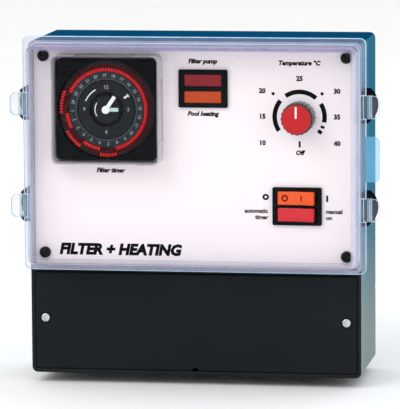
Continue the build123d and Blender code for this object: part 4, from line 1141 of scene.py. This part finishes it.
@dataclass
class Switches(SubAssembly):
    """Rocker switches and indicator lamps."""

    flat_depth_mm: float = 80.57
    ring_x_mm: float = -7.2
    bar_x_mm: float = 3.4
    kept: dict[str, Finish] = field(default_factory=lambda: {
        "rocker_terminals": BRASS, "indicator_terminals": BRASS, "indicator_lamps": GLASS,
    })

    def build(self) -> None:
        """Round the frames, rockers and lenses, and mark the pump's rocker."""
        for node, body, edge, finish in (
            ("rocker_frame", Body.HOUSING, 0.3, BLACK_NYLON),
            ("indicator_frame", Body.HOUSING, 0.3, BLACK_NYLON),
            ("filter_rocker", Body.FILTER_SWITCH, 0.35, ROCKER_ORANGE),
            ("mode_rocker", Body.MODE_SWITCH, 0.35, ROCKER_RED),
            ("filter_lens", Body.HOUSING, 0.15, LENS_RED),
            ("heating_lens", Body.HOUSING, 0.15, LENS_ORANGE),
        ):
            paint(softened(node, body, edge), finish)
        self.mark_rocker()

    def mark_rocker(self) -> None:
        """Ring on the pressed end and bar on the raised end, each on its own slope."""
        x, z = middle_mm("filter_rocker")
        ring = arc(x + self.ring_x_mm, z, self.flat_depth_mm, (1.2, 2.1))
        line = bar(0.0, 0.0, 0.0, (0.8, 3.4))
        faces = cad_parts["filter_rocker"].data.polygons
        slope = max((f for f in faces if f.normal.y < -0.9 and f.normal.x < -0.1), key=lambda f: f.area)
        across = (x + self.bar_x_mm) * MM
        front_y = slope.center.y - (across - slope.center.x) * slope.normal.x / slope.normal.y
        place = Matrix.Translation((across, front_y - INK_LIFT, z * MM))
        line.matrix_world = place @ Matrix.Rotation(math.asin(slope.normal.x), 4, "Z")
        pick(line)
        bpy.ops.object.transform_apply(location=True, rotation=True, scale=True)
        print_on("rocker_marks", Body.FILTER_SWITCH, INK_BLACK, [ring, line])


@dataclass
class Knob(SubAssembly):
    """Temperature knob and its potentiometer."""

    kept: dict[str, Finish] = field(default_factory=lambda: {
        "potentiometer": ZINC, "potentiometer_nut": ZINC, "potentiometer_shaft": STEEL, "knob_pointer": HAND_WHITE,
    })

    def build(self) -> None:
        """Round the fluted skirt and its cap."""
        paint(softened("knob_body", Body.KNOB, 0.2), KNOB_GREY)
        paint(softened("knob_cap", Body.KNOB, 0.15), KNOB_CAP)


@dataclass
class Electronics(SubAssembly):
    """Circuit board with its parts, and the mains terminals."""

    kept: dict[str, Finish] = field(default_factory=lambda: {
        "circuit_board": BOARD,
        "board_screws": ZINC,
        "filter_relay": RELAY,
        "heating_relay": RELAY,
        "transformer_coil": TAPE,
        "transformer_core": CORE_STEEL,
        "capacitor": SLEEVE,
        "board_terminals": TERMINAL_GREEN,
        "fuse_holder": ZINC,
        "fuse": GLASS,
        "terminal_strip": STRIP_NYLON,
        "terminal_strip_screws": ZINC,
        "earth_bar": BRASS,
        "earth_bar_screws": ZINC,
    })


@dataclass
class Studio:
    """Pale floor, soft light and the camera."""

    azimuth_deg: float = 9.18
    elevation_deg: float = 7.46
    roll_deg: float = -0.37
    distance: float = 2.4996
    target: Triple = (-0.00286, -0.040, -0.00205)
    lens_mm: float = 340.9
    sky: float = 1.0
    floor_gap: float = 0.0005

    def build(self) -> None:
        """Set the floor, the lights and the camera."""
        self.floor()
        self.light("key", (-0.9, -1.6, 1.4), 1.2, 14.0, "#FFFFFF")
        self.light("fill", (1.5, -1.3, 0.5), 1.0, 4.0, "#EAF4FF")
        self.light("edge", (0.9, 1.5, 0.9), 1.0, 6.0, "#BFE4FF")
        world = bpy.data.worlds.new("soft_white")
        bpy.context.scene.world = world
        world.use_nodes = True
        world.node_tree.nodes["Background"].inputs["Color"].default_value = (1.0, 1.0, 1.0, 1.0)
        world.node_tree.nodes["Background"].inputs["Strength"].default_value = self.sky
        bpy.context.scene.view_settings.view_transform = "Standard"
        self.camera()

    def floor(self) -> None:
        """Lay a pale floor under the unit."""
        clear_selection()
        bpy.ops.mesh.primitive_plane_add(size=14.0, location=(0.0, 0.0, CAD_BOX[0][2] - self.floor_gap))
        floor = bpy.context.object
        floor.name = "floor"
        paint(floor, FLOOR_PAINT)

    def light(self, name: str, place: Triple, size: float, watts: float, colour: str) -> None:
        """Hang a square soft light that faces the unit.

        Args:
            name: The light's name.
            place: Where it hangs.
            size: The length of its side.
            watts: Its power.
            colour: Its colour.
        """
        lamp = bpy.data.lights.new(name, "AREA")
        lamp.size = size
        lamp.energy = watts
        lamp.color = linear(colour)[:3]
        holder = bpy.data.objects.new(name, lamp)
        bpy.context.scene.collection.objects.link(holder)
        holder.location = place
        holder.rotation_euler = (Vector(self.target) - Vector(place)).to_track_quat("-Z", "Y").to_euler()

    def camera(self) -> None:
        """Stand the camera to the right of the front and a little above."""
        a, e, t = (math.radians(v) for v in (self.azimuth_deg, self.elevation_deg, self.roll_deg))
        right = Vector((math.cos(a), math.sin(a), 0.0))
        back = Vector((math.sin(a) * math.cos(e), -math.cos(a) * math.cos(e), math.sin(e)))
        up = back.cross(right)
        level = right * math.cos(t) + up * math.sin(t)
        upright = up * math.cos(t) - right * math.sin(t)
        data = bpy.data.cameras.new("camera")
        data.lens = self.lens_mm
        data.clip_end = 50.0
        camera = bpy.data.objects.new("camera", data)
        bpy.context.scene.collection.objects.link(camera)
        turn = Matrix((level, upright, back)).transposed().to_4x4()
        camera.matrix_world = Matrix.Translation(Vector(self.target) + back * self.distance) @ turn
        bpy.context.scene.camera = camera


def main() -> None:
    """Build each sub-assembly in order, then the studio."""
    logging.basicConfig(level=logging.INFO, format="%(name)s: %(message)s")
    for part in (Housing(), Panel(), Lid(), Timer(), Switches(), Knob(), Electronics()):
        part.build()
        part.dress()
    Studio().build()


if __name__ == "__main__":
    main()
